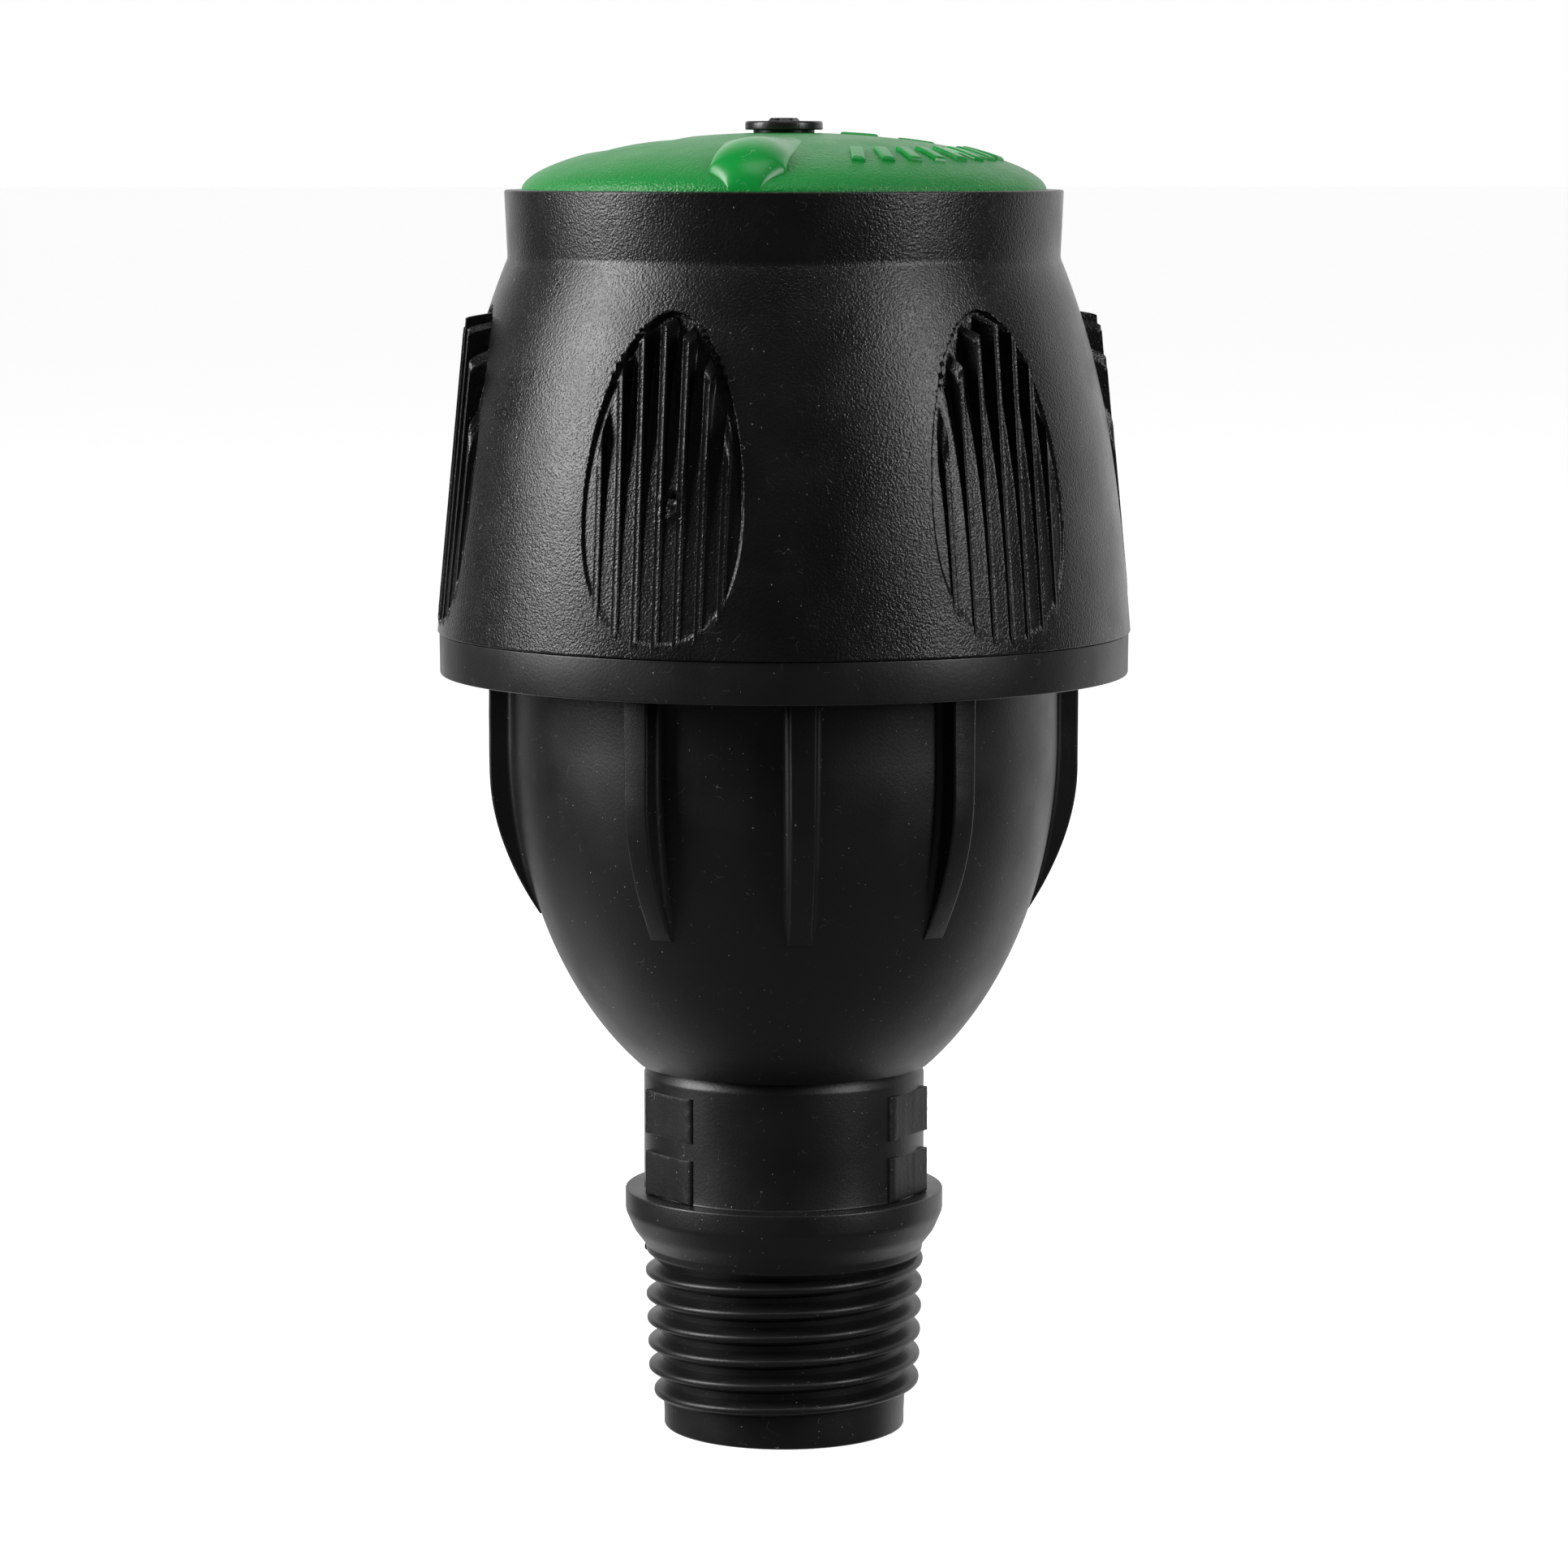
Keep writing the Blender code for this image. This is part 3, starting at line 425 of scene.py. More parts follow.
def moulded_plastic(name, colour, rough, grain, depth, *, streak=0.0, dust=0.0, specular=0.5,
                    dust_colour=(0.32, 0.31, 0.29), variation=0.16):
    """Moulded plastic: fine grain, slow colour and gloss drift, optional flow streaks and dust.

    Dust is specks, where a fine noise passes a threshold, and short hairs, where another is near
    its middle value.
    """
    made = bpy.data.materials.new(name)
    made.use_nodes = True
    tree = made.node_tree
    shader = tree.nodes["Principled BSDF"]
    shader.inputs["IOR"].default_value = 1.5
    shader.inputs["Specular IOR Level"].default_value = specular
    place = tree.nodes.new("ShaderNodeTexCoord").outputs["Object"]
    drift = noise(tree, place, 90.0, 4.0)
    tone = blend_colour(tree, drift, shaded(colour, 1 - variation), shaded(colour, 1 + variation))
    if dust:
        specks = noise(tree, place, 6400.0, 0.0)
        patches = noise(tree, place, 260.0, 2.0)
        threshold = spread(tree, patches, 0.35, 0.75, 0.885, 0.885 - dust)
        tone = blend_colour(tree, combine(tree, "GREATER_THAN", specks, threshold), tone, dust_colour)
        strand = noise(tree, place, 700.0, 1.0)
        rising = spread(tree, strand, 0.4975, 0.5, 0.0, 1.0)
        falling = spread(tree, strand, 0.5, 0.5025, 1.0, 0.0)
        scattered = spread(tree, noise(tree, place, 950.0, 0.0), 0.71, 0.73, 0.0, 0.6)
        strands = combine(tree, "MULTIPLY", combine(tree, "MULTIPLY", rising, falling), scattered)
        tone = blend_colour(tree, strands, tone, dust_colour)
    tree.links.new(tone, shader.inputs["Base Color"])
    gloss = noise(tree, place, 240.0, 5.0)
    tree.links.new(spread(tree, gloss, 0.3, 0.7, rough - 0.05, rough + 0.05), shader.inputs["Roughness"])
    normal = bump(tree, noise(tree, place, 1 / grain, 1.0, roughness=0.6), depth)
    normal = bump(tree, noise(tree, place, 120.0, 1.0), 0.05 * MM, under=normal)
    if streak:
        lines = noise(tree, place, 900.0, 2.0, stretch=(1.0, 1.0, 0.06))
        normal = bump(tree, lines, streak, under=normal)
    tree.links.new(normal, shader.inputs["Normal"])
    return made


def metal(name, colour, rough, stretch):
    """Steel with fine drawn or rolled lines."""
    made = bpy.data.materials.new(name)
    made.use_nodes = True
    tree = made.node_tree
    shader = tree.nodes["Principled BSDF"]
    shader.inputs["Metallic"].default_value = 1.0
    place = tree.nodes.new("ShaderNodeTexCoord").outputs["Object"]
    drift = noise(tree, place, 200.0, 4.0)
    tone = blend_colour(tree, drift, shaded(colour, 0.85), shaded(colour, 1.1))
    tree.links.new(tone, shader.inputs["Base Color"])
    lines = noise(tree, place, 2500.0, 2.0, stretch=stretch)
    tree.links.new(spread(tree, lines, 0.3, 0.7, rough - 0.06, rough + 0.08), shader.inputs["Roughness"])
    tree.links.new(bump(tree, lines, 0.006 * MM), shader.inputs["Normal"])
    return made


def finishes():
    """The materials of the sprinkler head, made once and found by name afterwards."""
    colours = bpy.context.scene.sprinkler_colours
    black, natural = tuple(colours.black), tuple(colours.natural)
    green, jet = tuple(colours.green), tuple(colours.jet)
    pale_green = (0.5, 0.62, 0.5)
    moulded = {  # colour, roughness, grain size and grain depth in mm, and what else is special
        "body_black": (shaded(black, 1.2), 0.41, 0.22, 0.010, {"dust": 0.05, "specular": 0.5}),
        "pad_black": (shaded(black, 1.3), 0.5, 0.3, 0.02,
                      {"streak": 0.03 * MM, "dust": 0.04, "specular": 0.42}),
        "cover_black": (shaded(black, 1.05), 0.31, 0.17, 0.045, {"dust": 0.05, "specular": 0.42}),
        "cap_green": (shaded(green, 1.1), 0.4, 0.2, 0.11,
                      {"dust": 0.03, "specular": 0.42, "variation": 0.06, "dust_colour": pale_green}),
        "hood_green": (shaded(green, 1.25), 0.3, 0.4, 0.006,
                       {"dust": 0.03, "specular": 0.4, "variation": 0.05, "dust_colour": pale_green}),
        "pin_black": (shaded(black, 1.6), 0.32, 0.25, 0.012, {"dust": 0.08}),
        "natural_acetal": (natural, 0.4, 0.3, 0.008, {"variation": 0.05}),
        "jet_acetal": (jet, 0.3, 0.3, 0.006, {"variation": 0.06}),
        "seal_rubber": ((0.012, 0.012, 0.012), 0.62, 0.15, 0.02, {"specular": 0.4}),
    }
    steel = {  # colour, roughness, and how the drawn lines are stretched
        "drawn_steel": ((0.56, 0.56, 0.58), 0.3, (1.0, 1.0, 0.15)),
        "ball_steel": ((0.62, 0.62, 0.64), 0.14, (1.0, 1.0, 1.0)),
    }
    made = {}
    for name, (colour, rough, grain, depth, more) in moulded.items():
        ready = bpy.data.materials.get(name)
        made[name] = ready or moulded_plastic(name, colour, rough, grain * MM, depth * MM, **more)
    for name, recipe in steel.items():
        made[name] = bpy.data.materials.get(name) or metal(name, *recipe)
    return made


# Operators


class BodyShell(bpy.types.Operator):
    """Build the turned shell of the body: spigot, collar, neck, bowl, flange and upstand"""

    bl_idname = "sprinkler.body_shell"
    bl_label = "Body shell"

    def execute(self, context):
        sizes = context.scene.sprinkler_sizes
        fine = np.linspace(BOWL_CENTRE_Z, BOWL_FOOT_Z, 60)
        bowl = np.stack([bowl_radius_at(fine, sizes), fine], 1)
        low, high = FLANGE_Z
        flange_r = sizes.flange_radius
        top = filleted(
            [(UPSTAND_R[0], UPSTAND_TOP), (UPSTAND_R[1], UPSTAND_TOP), (UPSTAND_R[1], high), (flange_r, high),
             (flange_r - 0.03 * MM, low), (sizes.bowl_radius, low), bowl[0]],
            np.array([0.3, 0.3, 0.1, 0.12, 0.14, 0.5, 0]) * MM)
        neck = filleted(
            [bowl[-1], (10.12 * MM, 27.66 * MM), (NECK_R, 26.9 * MM), (NECK_R, 22.0 * MM),
             (NECK_R, COLLAR_TOP), (COLLAR_R, COLLAR_TOP), (COLLAR_R, 16.5 * MM), (11.3 * MM, 15.1 * MM),
             (10.42 * MM, 13.95 * MM), (10.36 * MM, 13.4 * MM), (9.32 * MM, 12.5 * MM), (9.12 * MM, 3.0 * MM),
             (SPIGOT_R, 1.0 * MM), (SPIGOT_R, 0.0), (BORE_R, 0.0), (BORE_R, BORE_TOP), (CHAMBER_R, BORE_TOP)],
            np.array([0, 0.12, 0.6, 0, 0.12, 0.14, 1.2, 2.5, 0.3, 0.3, 0.4, 2, 2, 0.18, 0.2, 0.1, 0]) * MM)
        inner_z = np.linspace(28.5 * MM, BOWL_CENTRE_Z, 24)
        inner = np.maximum(bowl_radius_at(inner_z, sizes) - BOWL_WALL, CHAMBER_R)
        inner = np.stack([inner, inner_z], 1)
        end = [(18.2 * MM, 57.4 * MM), (UPSTAND_R[0], 57.4 * MM)]
        outline = np.concatenate([top, bowl[1:-1], neck, inner, end])
        shell = turned("body_shell", outline)
        finish_piece(shell, finishes()["body_black"], "body_plastic", "body", "lower_body")
        return {"FINISHED"}


class BodyRibs(bpy.types.Operator):
    """Build the bowl's eight ribs and the lugs that lock the cover"""

    bl_idname = "sprinkler.body_ribs"
    bl_label = "Body ribs and lugs"

    @staticmethod
    def rib(name, azimuth, seed, sizes):
        """A rib: its cross-section, a rounded bar with a filleted foot, carried down the bowl.

        The height is the rib's own radius, straight and then a falling parabola, less the bowl's.
        """
        top = FLANGE_Z[0] + 0.5 * MM
        z = np.linspace(top, RIB_TOE_Z, 90)[:, None]
        crest = sizes.rib_radius - RIB_CURVE * np.clip(RIB_BEND_Z - z, 0, None) ** 2
        base = bowl_radius_at(z, sizes)
        high = np.maximum(crest - base, 0.02 * MM)
        half = np.interp(z, [RIB_TOE_Z, top], RIB_HALF_WIDTH)
        foot = np.minimum(0.4 * MM, high * 0.5)
        corner = np.minimum(0.2 * MM, high * 0.45)
        quarter = np.linspace(0, np.pi / 2, 7)[None]
        flare_u = -half - foot + foot * np.sin(quarter)
        flare_v = foot * (1 - np.cos(quarter))
        edge_u = -half + corner * (1 - np.cos(quarter))
        edge_v = high - corner + corner * np.sin(quarter)
        under_u, under_v = -half - foot, -0.4 * MM + 0 * half
        left_u = np.hstack([under_u, flare_u, edge_u])
        left_v = np.hstack([under_v, flare_v, edge_v])
        across = np.hstack([left_u, -left_u[:, ::-1]])
        out = np.hstack([left_v, left_v[:, ::-1]])
        along = z * np.ones_like(across)
        leather = ripple(seed, across / (0.5 * MM), along / (0.7 * MM)) * 0.03 * MM
        radius = np.sqrt(np.maximum(base ** 2 - across ** 2, 0)) + out + leather * ramp(0, 0.5 * MM, out)
        points = facing(across, radius, along, math.radians(azimuth))
        return surface(name, points, wrap_columns=True, caps=True)

    def execute(self, context):
        sizes = context.scene.sprinkler_sizes
        black = finishes()["body_black"]
        for i, azimuth in enumerate(RIB_AZIMUTHS):
            rib = self.rib(f"bowl_rib_{i + 1}", azimuth, 10 + i, sizes)
            finish_piece(rib, black, "body_plastic", "body", "lower_body")
        for i, azimuth in enumerate(LOCK_AZIMUTHS):
            rounding = np.array([0, 0.2, 0.2, 0]) * MM
            lug = bent_bar(f"lock_lug_{i + 1}", LUG_R, LUG_Z, rounding, azimuth, LUG_HALF_ANGLE, 25)
            finish_piece(lug, black, "body_plastic", "body", "lower_body")
        return {"FINISHED"}


class NeckPads(bpy.types.Operator):
    """Build the neck's flat spanner pads"""

    bl_idname = "sprinkler.neck_pads"
    bl_label = "Spanner pads"

    @staticmethod
    def pad(name, azimuth, sides, low, high, seed):
        """A flat pad with rounded edges: its depth falls over each edge along a quarter ellipse.

        The sides are its left and right edge from the flat's middle and how wide each is rounded.
        """
        left, right, left_bevel, right_bevel = np.array(sides) * MM
        edge, deep = PAD_EDGE, PAD_DEPTH
        quarter = np.linspace(0, np.pi / 2, 6)
        inset = edge * (1 - np.cos(quarter))
        drop = edge * (1 - np.sin(quarter))
        inner_u = np.linspace(left + left_bevel, right - right_bevel, 34)[1:-1]
        inner_z = np.linspace(low + edge, high - edge, 18)[1:-1]
        left_u = left + inset * left_bevel / edge
        right_u = right - inset[::-1] * right_bevel / edge
        u = np.concatenate([[left], left_u, inner_u, right_u, [right]])
        z = np.concatenate([[low], low + inset, inner_z, high - inset[::-1], [high]])
        left_drop, right_drop = drop * (left_bevel / edge) ** 0.6, drop[::-1] * (right_bevel / edge) ** 0.6
        fall_u = np.concatenate([[deep], left_drop, 0 * inner_u, right_drop, [deep]])
        fall_z = np.concatenate([[deep], drop, 0 * inner_z, drop[::-1], [deep]])
        fall = np.maximum(fall_u[None], fall_z[:, None])
        u, z = np.meshgrid(u, z)
        flow = 0.016 * MM * ripple(seed, u / (0.22 * MM), z / (1.6 * MM)) * (fall < edge)
        worn = 0.10 * MM * ripple(seed + 50, u / (0.9 * MM), z / (0.5 * MM)) * (fall > 0) * (fall < deep)
        out = PAD_FACE - fall + flow - np.abs(worn)
        return surface(name, facing(u, out, z, math.radians(azimuth)), caps=True)

    def execute(self, context):
        material = finishes()["pad_black"]
        for i, (azimuth, *sides) in enumerate(PADS):
            for j, (low, high) in enumerate(PAD_Z):
                pad = self.pad(f"spanner_pad_{i + 1}_{j + 1}", azimuth, sides, low, high, 30 + 2 * i + j)
                finish_piece(pad, material, "body_plastic", "body", "lower_body")
        return {"FINISHED"}


class InletThread(bpy.types.Operator):
    """Build the tapered inlet thread"""

    bl_idname = "sprinkler.inlet_thread"
    bl_label = "Inlet thread"

    def execute(self, context):
        """The ridge's rounded section is carried down a helix whose radius shrinks with height.

        It ends bluntly at the top, and at the foot its crest fades into the root over half a turn.
        """
        sizes = context.scene.sprinkler_sizes
        t = np.linspace(0, THREAD_TURNS, int(THREAD_TURNS * 110))[:, None]
        half = sizes.thread_pitch / 2
        side = np.array([1.0, 0.84, 0.7, 0.58, 0.47, 0.38, 0.32, 0.26, 0.2, 0.14, 0.07, 0.0]) * half
        rise = np.array([-0.10, -0.04, 0.1, 0.32, 0.54, 0.72, 0.83, 0.905, 0.955, 0.982, 0.996, 1.0])
        off = np.concatenate([-side, side[-2::-1]])
        rise = np.concatenate([rise, rise[-2::-1]])
        fade = ramp(0, 0.55, THREAD_TURNS - t)
        z = THREAD_TOP - t * sizes.thread_pitch
        crest = sizes.thread_radius - (THREAD_TOP - z) * THREAD_TAPER
        wear = 0.012 * MM * ripple(70, t * 7, off[None] / (0.4 * MM))
        radius = crest - THREAD_HEIGHT * (1 - rise[None] * fade) + wear * (rise[None] > 0.5)
        base = np.full_like(t, 8.9 * MM)
        radius = np.hstack([base, radius, base])
        height = z - np.concatenate([off[:1], off, off[-1:]])[None]
        azimuth = np.radians(-90 - 360 * t)
        thread = surface("inlet_thread", around(radius, azimuth, height), wrap_columns=True, caps=True)
        finish_piece(thread, finishes()["body_black"], "body_plastic", "body", "lower_body")
        return {"FINISHED"}


class CoverPanels(bpy.types.Operator):
    """Build the cover's bell as six panels, each with one finger grip"""

    bl_idname = "sprinkler.cover_panels"
    bl_label = "Cover panels"

    @staticmethod
    def columns(z, sizes):
        """Azimuths of a panel's columns from its grip's middle at each height, as (rows, columns).

        Across the grip they keep a steady distance from its middle plane, close together at its
        ribs; beyond it they are spread evenly to the panel's sides, with a close pair at each side.
        """
        pitch = sizes.grip_rib_pitch
        side = np.array([0.13, 0.18, 0.205, 0.23, 0.26, 0.29, 0.33]) * MM
        rib = np.concatenate([-side[::-1], [0], side])
        ribs = (np.arange(-3, 4)[:, None] * pitch + rib[None]).ravel()
        gaps = ((np.arange(-3, 3) + 0.5)[:, None] * pitch + np.array([-0.18, 0.18])[None] * MM).ravel()
        edges = np.linspace(3 * pitch + 0.46 * MM, sizes.grip_half_width + 0.45 * MM, 22)
        across = np.sort(np.concatenate([ribs, gaps, edges, -edges]))
        grip = np.arcsin(across[None] / bell_radius_at(z, sizes))
        share = np.array([0.12, 0.3, 0.5, 0.7, 0.88, 0.99, 1.0])[None]
        beyond = grip[:, -1:] * (1 - share) + PANEL_HALF * share
        return np.hstack([-beyond[:, ::-1], grip, beyond])

    @staticmethod
    def relief(across, z, bell, sizes, scar):
        """How far the surface stands out in a grip, in metres.

        An egg (|x / a|^n + |z / b|^n = 1, blunter below) is sunk a little, most at its top. Upright
        ribs with straight leaning crests stand in it; each rib's section is a smooth step.
        """
        up = z - GRIP_Z
        half = sizes.grip_half_width
        reach = np.where(up > 0, GRIP_RISE, GRIP_FALL)
        power = np.where(up > 0, GRIP_RISE_POWER, GRIP_FALL_POWER)
        x, y = np.abs(across) + 1e-9, np.abs(up) + 1e-9
        level = ((x / half) ** power + (y / reach) ** power) ** (1 / power)
        slope_x = x ** (power - 1) / half ** power
        slope_y = y ** (power - 1) / reach ** power
        inside = (1 - level) / np.maximum(level ** (1 - power) * np.hypot(slope_x, slope_y), 1)
        depth = np.interp(z, GRIP_DEPTH_Z, GRIP_DEPTH)
        relief = -depth * ramp(-0.06 * MM, 0.14 * MM, inside)
        crest = np.interp(z, GRIP_CREST_Z, GRIP_CREST_R) - bell
        nearest = np.round(np.clip(across / sizes.grip_rib_pitch, -3, 3)) * sizes.grip_rib_pitch
        aside = np.abs(across - nearest)
        section = 1 - ramp(*GRIP_RIB_EDGE, aside)
        nearness = np.where(up > 0, ramp(0.4 * MM, 0.95 * MM, inside), ramp(-0.6 * MM, 0.0, inside))
        share = section * nearness
        burr = 0.03 * MM * np.exp(-((aside - 0.19 * MM) / (0.045 * MM)) ** 2)
        relief = relief * (1 - share) + (np.maximum(crest, relief) + burr) * share
        if scar:
            aside, above = across - SCAR[0], z - SCAR[1]
            spot = np.exp(-(aside / (0.62 * MM)) ** 4 - (above / (1.25 * MM)) ** 4)
            hole = np.exp(-((aside - 0.05 * MM) / (0.26 * MM)) ** 2 - ((above - 0.4 * MM) / (0.34 * MM)) ** 2)
            torn = ripple(5, across / (0.2 * MM), z / (0.22 * MM))
            relief = relief + spot * (0.12 * MM + 0.34 * MM * torn) - hole * 0.6 * MM
        return relief

    def panel(self, name, azimuth, sizes, scar):
        """A sixth of the bell: its grid follows the bell's curve plus the grip's relief.

        The back repeats the bell's curve one wall further in, and the sides are radial planes.
        """
        quarter = np.linspace(0, np.pi / 2, 5)[:-1]
        edge = BELL_BOTTOM + BELL_EDGE * (1 - np.cos(quarter))
        low, middle, high = np.array([60.2, 63.0, 80.0]) * MM
        rows = [edge, np.linspace(low, middle, 34), np.linspace(middle, high, 100)[1:]]
        rows += [np.linspace(high, 84.8 * MM, 52)[1:], np.linspace(84.8 * MM, WELL_SEAM_Z, 9)[1:]]
        z = np.concatenate([*rows, [WELL_SEAM_Z]])[:, None]
        z[-2] -= 0.02 * MM
        bell = bell_radius_at(z, sizes)
        away = self.columns(z, sizes)
        radius = bell + self.relief(bell * np.sin(away), z + 0 * away, bell, sizes, scar)
        radius[:4] -= BELL_EDGE * (1 - np.sin(quarter))[:, None]
        outer = around(radius, math.radians(azimuth) + away, z)
        back_z = np.linspace(WELL_SEAM_Z, BELL_BOTTOM, 24)[:, None]
        back_r = np.maximum(bell_radius_at(back_z, sizes) - BELL_WALL, 20.0 * MM)
        back = around(back_r, math.radians(azimuth) + self.columns(back_z, sizes), back_z)
        return surface(name, np.concatenate([outer, back]), wrap_rows=True, caps=True)

    def execute(self, context):
        sizes = context.scene.sprinkler_sizes
        for i, azimuth in enumerate(GRIP_AZIMUTHS):
            panel = self.panel(f"cover_panel_{i + 1}", azimuth, sizes, i == SCAR_GRIP)
            finish_piece(panel, finishes()["cover_black"], "cover_plastic", "cover", "top_cover")
        return {"FINISHED"}


class CoverWell(bpy.types.Operator):
    """Build the cover's rim, the well that the head sits in, and the keys of the lock"""

    bl_idname = "sprinkler.cover_well"
    bl_label = "Cover well"

    def execute(self, context):
        """A turned outline: band, rim, well, floor and boss; the keys are short bars bent round it."""
        sizes = context.scene.sprinkler_sizes
        black = finishes()["cover_black"]
        seam_r = bell_radius_at(WELL_SEAM_Z, sizes)
        outer, inner = sizes.rim_radius, sizes.well_radius
        outline = filleted(
            [(20.02 * MM, WELL_SEAM_Z), (seam_r, WELL_SEAM_Z), (seam_r - 0.008 * MM, WELL_SEAM_Z + 0.02 * MM),
             (BAND_R, BELL_TOP), (outer, RIM_Z), (inner, RIM_Z), (inner, WELL_FLOOR), (7.0 * MM, WELL_FLOOR),
             (BOSS_R[0], WELL_FLOOR - 0.5 * MM), (BOSS_R[0], BOSS_BOTTOM), (BOSS_R[1], BOSS_BOTTOM),
             (BOSS_R[1], WELL_UNDERSIDE), (20.5 * MM, WELL_UNDERSIDE), (20.5 * MM, 83.8 * MM),
             (20.02 * MM, 84.2 * MM)],
            np.array([0, 0, 0, 2.6, 0.16, 0.2, 0.4, 0, 0, 0.2, 0.2, 0.3, 0, 0, 0]) * MM, 7)
        well = turned("cover_well", outline)
        finish_piece(well, black, "cover_plastic", "cover", "top_cover")
        for i, azimuth in enumerate(LOCK_AZIMUTHS):
            rounding = np.array([0.2, 0, 0, 0.2]) * MM
            key = bent_bar(f"cover_key_{i + 1}", KEY_R, KEY_Z, rounding, azimuth, KEY_HALF_ANGLE, 21)
            finish_piece(key, black, "cover_plastic", "cover", "top_cover")
        return {"FINISHED"}


class HeadCap(bpy.types.Operator):
    """Build the green cap: dome, skirt with its outlet, hood and raised marks"""

    bl_idname = "sprinkler.head_cap"
    bl_label = "Head cap"

    @staticmethod
    def scoop(x, y):
        """Depth of the crescent that is scooped out of the dome's left side.

        It starts at a sharp front edge, a parabola in plan, and fades out towards the back.
        """
        along = np.clip((x - SCOOP_X) / SCOOP_HALF_LENGTH, -1, 1)
        near = y + SCOOP_REACH * (1 - along ** 2)
        inside = ramp(0, 0.16 * MM, near) * (1 - ramp(3.0 * MM, 9.0 * MM, near))
        return SCOOP_DEPTH * inside * np.sqrt(1 - along ** 2)

    @staticmethod
    def outlet(azimuth, z, sizes):
        """Depth of the jet's outlet in the skirt: a round recess with a rounded lip."""
        across = sizes.dome_radius * ((azimuth - NOZZLE_AZIMUTH + np.pi) % (2 * np.pi) - np.pi)
        away = np.hypot(across, z - OUTLET_Z)
        return OUTLET_DEPTH * (1 - ramp(*OUTLET_EDGE, away))

    def dome(self, sizes):
        """The dome is a turned curve less the scoop; the skirt is a cylinder less the outlet."""
        coarse = np.linspace(-np.pi, np.pi, 300, endpoint=False)
        close = NOZZLE_AZIMUTH + np.linspace(-0.13, 0.13, 40)
        coarse = coarse[np.abs(coarse - NOZZLE_AZIMUTH) > 0.135]
        azimuth = np.sort(np.concatenate([coarse, close]))[None]
        r = sizes.dome_radius * np.sin(np.linspace(0.138, np.pi / 2, 160))[:, None]
        z = dome_height_at(r, sizes) + 0 * azimuth
        x, y = r * np.sin(azimuth), -r * np.cos(azimuth)
        z = z - self.scoop(x, y)
        top = around(r, azimuth, z)
        pit = np.array([(1.6, 95.0), (1.6, 96.15), (2.5, 96.15), (2.6, 96.3)]) * MM
        pit = around(pit[:, :1], azimuth, pit[:, 1:])
        down = np.linspace(RIM_Z - 0.15 * MM, 85.5 * MM, 56)[:, None]
        skirt = around(sizes.dome_radius - self.outlet(azimuth, down, sizes), azimuth, down)
        lip = np.array([(19.1, 85.3), (17.9, 85.3), (17.7, 85.5), (17.7, 88.0)]) * MM
        lip = around(lip[:, :1], azimuth, lip[:, 1:])
        inner_r = 17.6 * MM * np.cos(np.linspace(0, 1.42, 14))[:, None]
        inner_z = RIM_Z - 0.7 * MM + 3.55 * MM * np.sin(np.linspace(0, 1.42, 14))[:, None] ** 1.1
        inner = around(inner_r, azimuth, inner_z)
        points = np.concatenate([pit, top, skirt, lip, inner])
        return surface("cap_dome", points, wrap_rows=True, wrap_columns=True)

    @staticmethod
    def hood(sizes):
        """The hood: arches standing on the dome, carried outwards along the nozzle's azimuth.

        Its crest is level and then falls along a quarter ellipse to the rim, and the last rows go
        on down below the rim. Its half width is steady and then draws in to a narrow lip. Each arch
        is (1 - (across / half width)^2)^n, with n falling from a soft blend to a steep side.
        """
        start, bend, tip = HOOD_CREST
        fall = np.sin(np.linspace(0, np.pi / 2, 52))
        s = np.concatenate([np.linspace(start, bend, 30)[:-1], bend + (tip - bend) * fall])[:, None]
        half = HOOD_HALF_WIDTH - HOOD_DRAW_IN * np.clip((s - 17.7 * MM) / (1.45 * MM), 0, 1)
        half = half * ramp(start - 4 * MM, start + 3.5 * MM, s)
        share = np.clip((s - bend) / (tip - bend), 0, 1)
        crest = RIM_Z + HOOD_RISE * np.sqrt(1 - share ** 2)
        power = 1.6 - 1.1 * ramp(9 * MM, 16.5 * MM, s)
        t = np.sin(np.linspace(-np.pi / 2, np.pi / 2, 61))[None]
        across = half * t
        inner = sizes.dome_radius * 0.9995
        ground = dome_height_at(np.minimum(np.hypot(s, across), inner), sizes)
        middle = dome_height_at(np.minimum(s, inner), sizes)
        lift = np.clip(crest - middle, 0.0, None) * ramp(start, start + 3.0 * MM, s)
        z = ground + lift * np.clip(1 - t ** 2, 0, 1) ** power
        z[:, [0, -1]] -= 0.25 * MM
        drop = np.array([0.5, 1.0, 1.6])[:, None] * MM
        z = np.concatenate([z, z[-1:] - drop])
        s = np.concatenate([s, s[-1:] + 0 * drop])
        across = np.concatenate([across, across[-1:] + 0 * drop])
        return surface("cap_hood", facing(across, s, z, NOZZLE_AZIMUTH), caps=True)

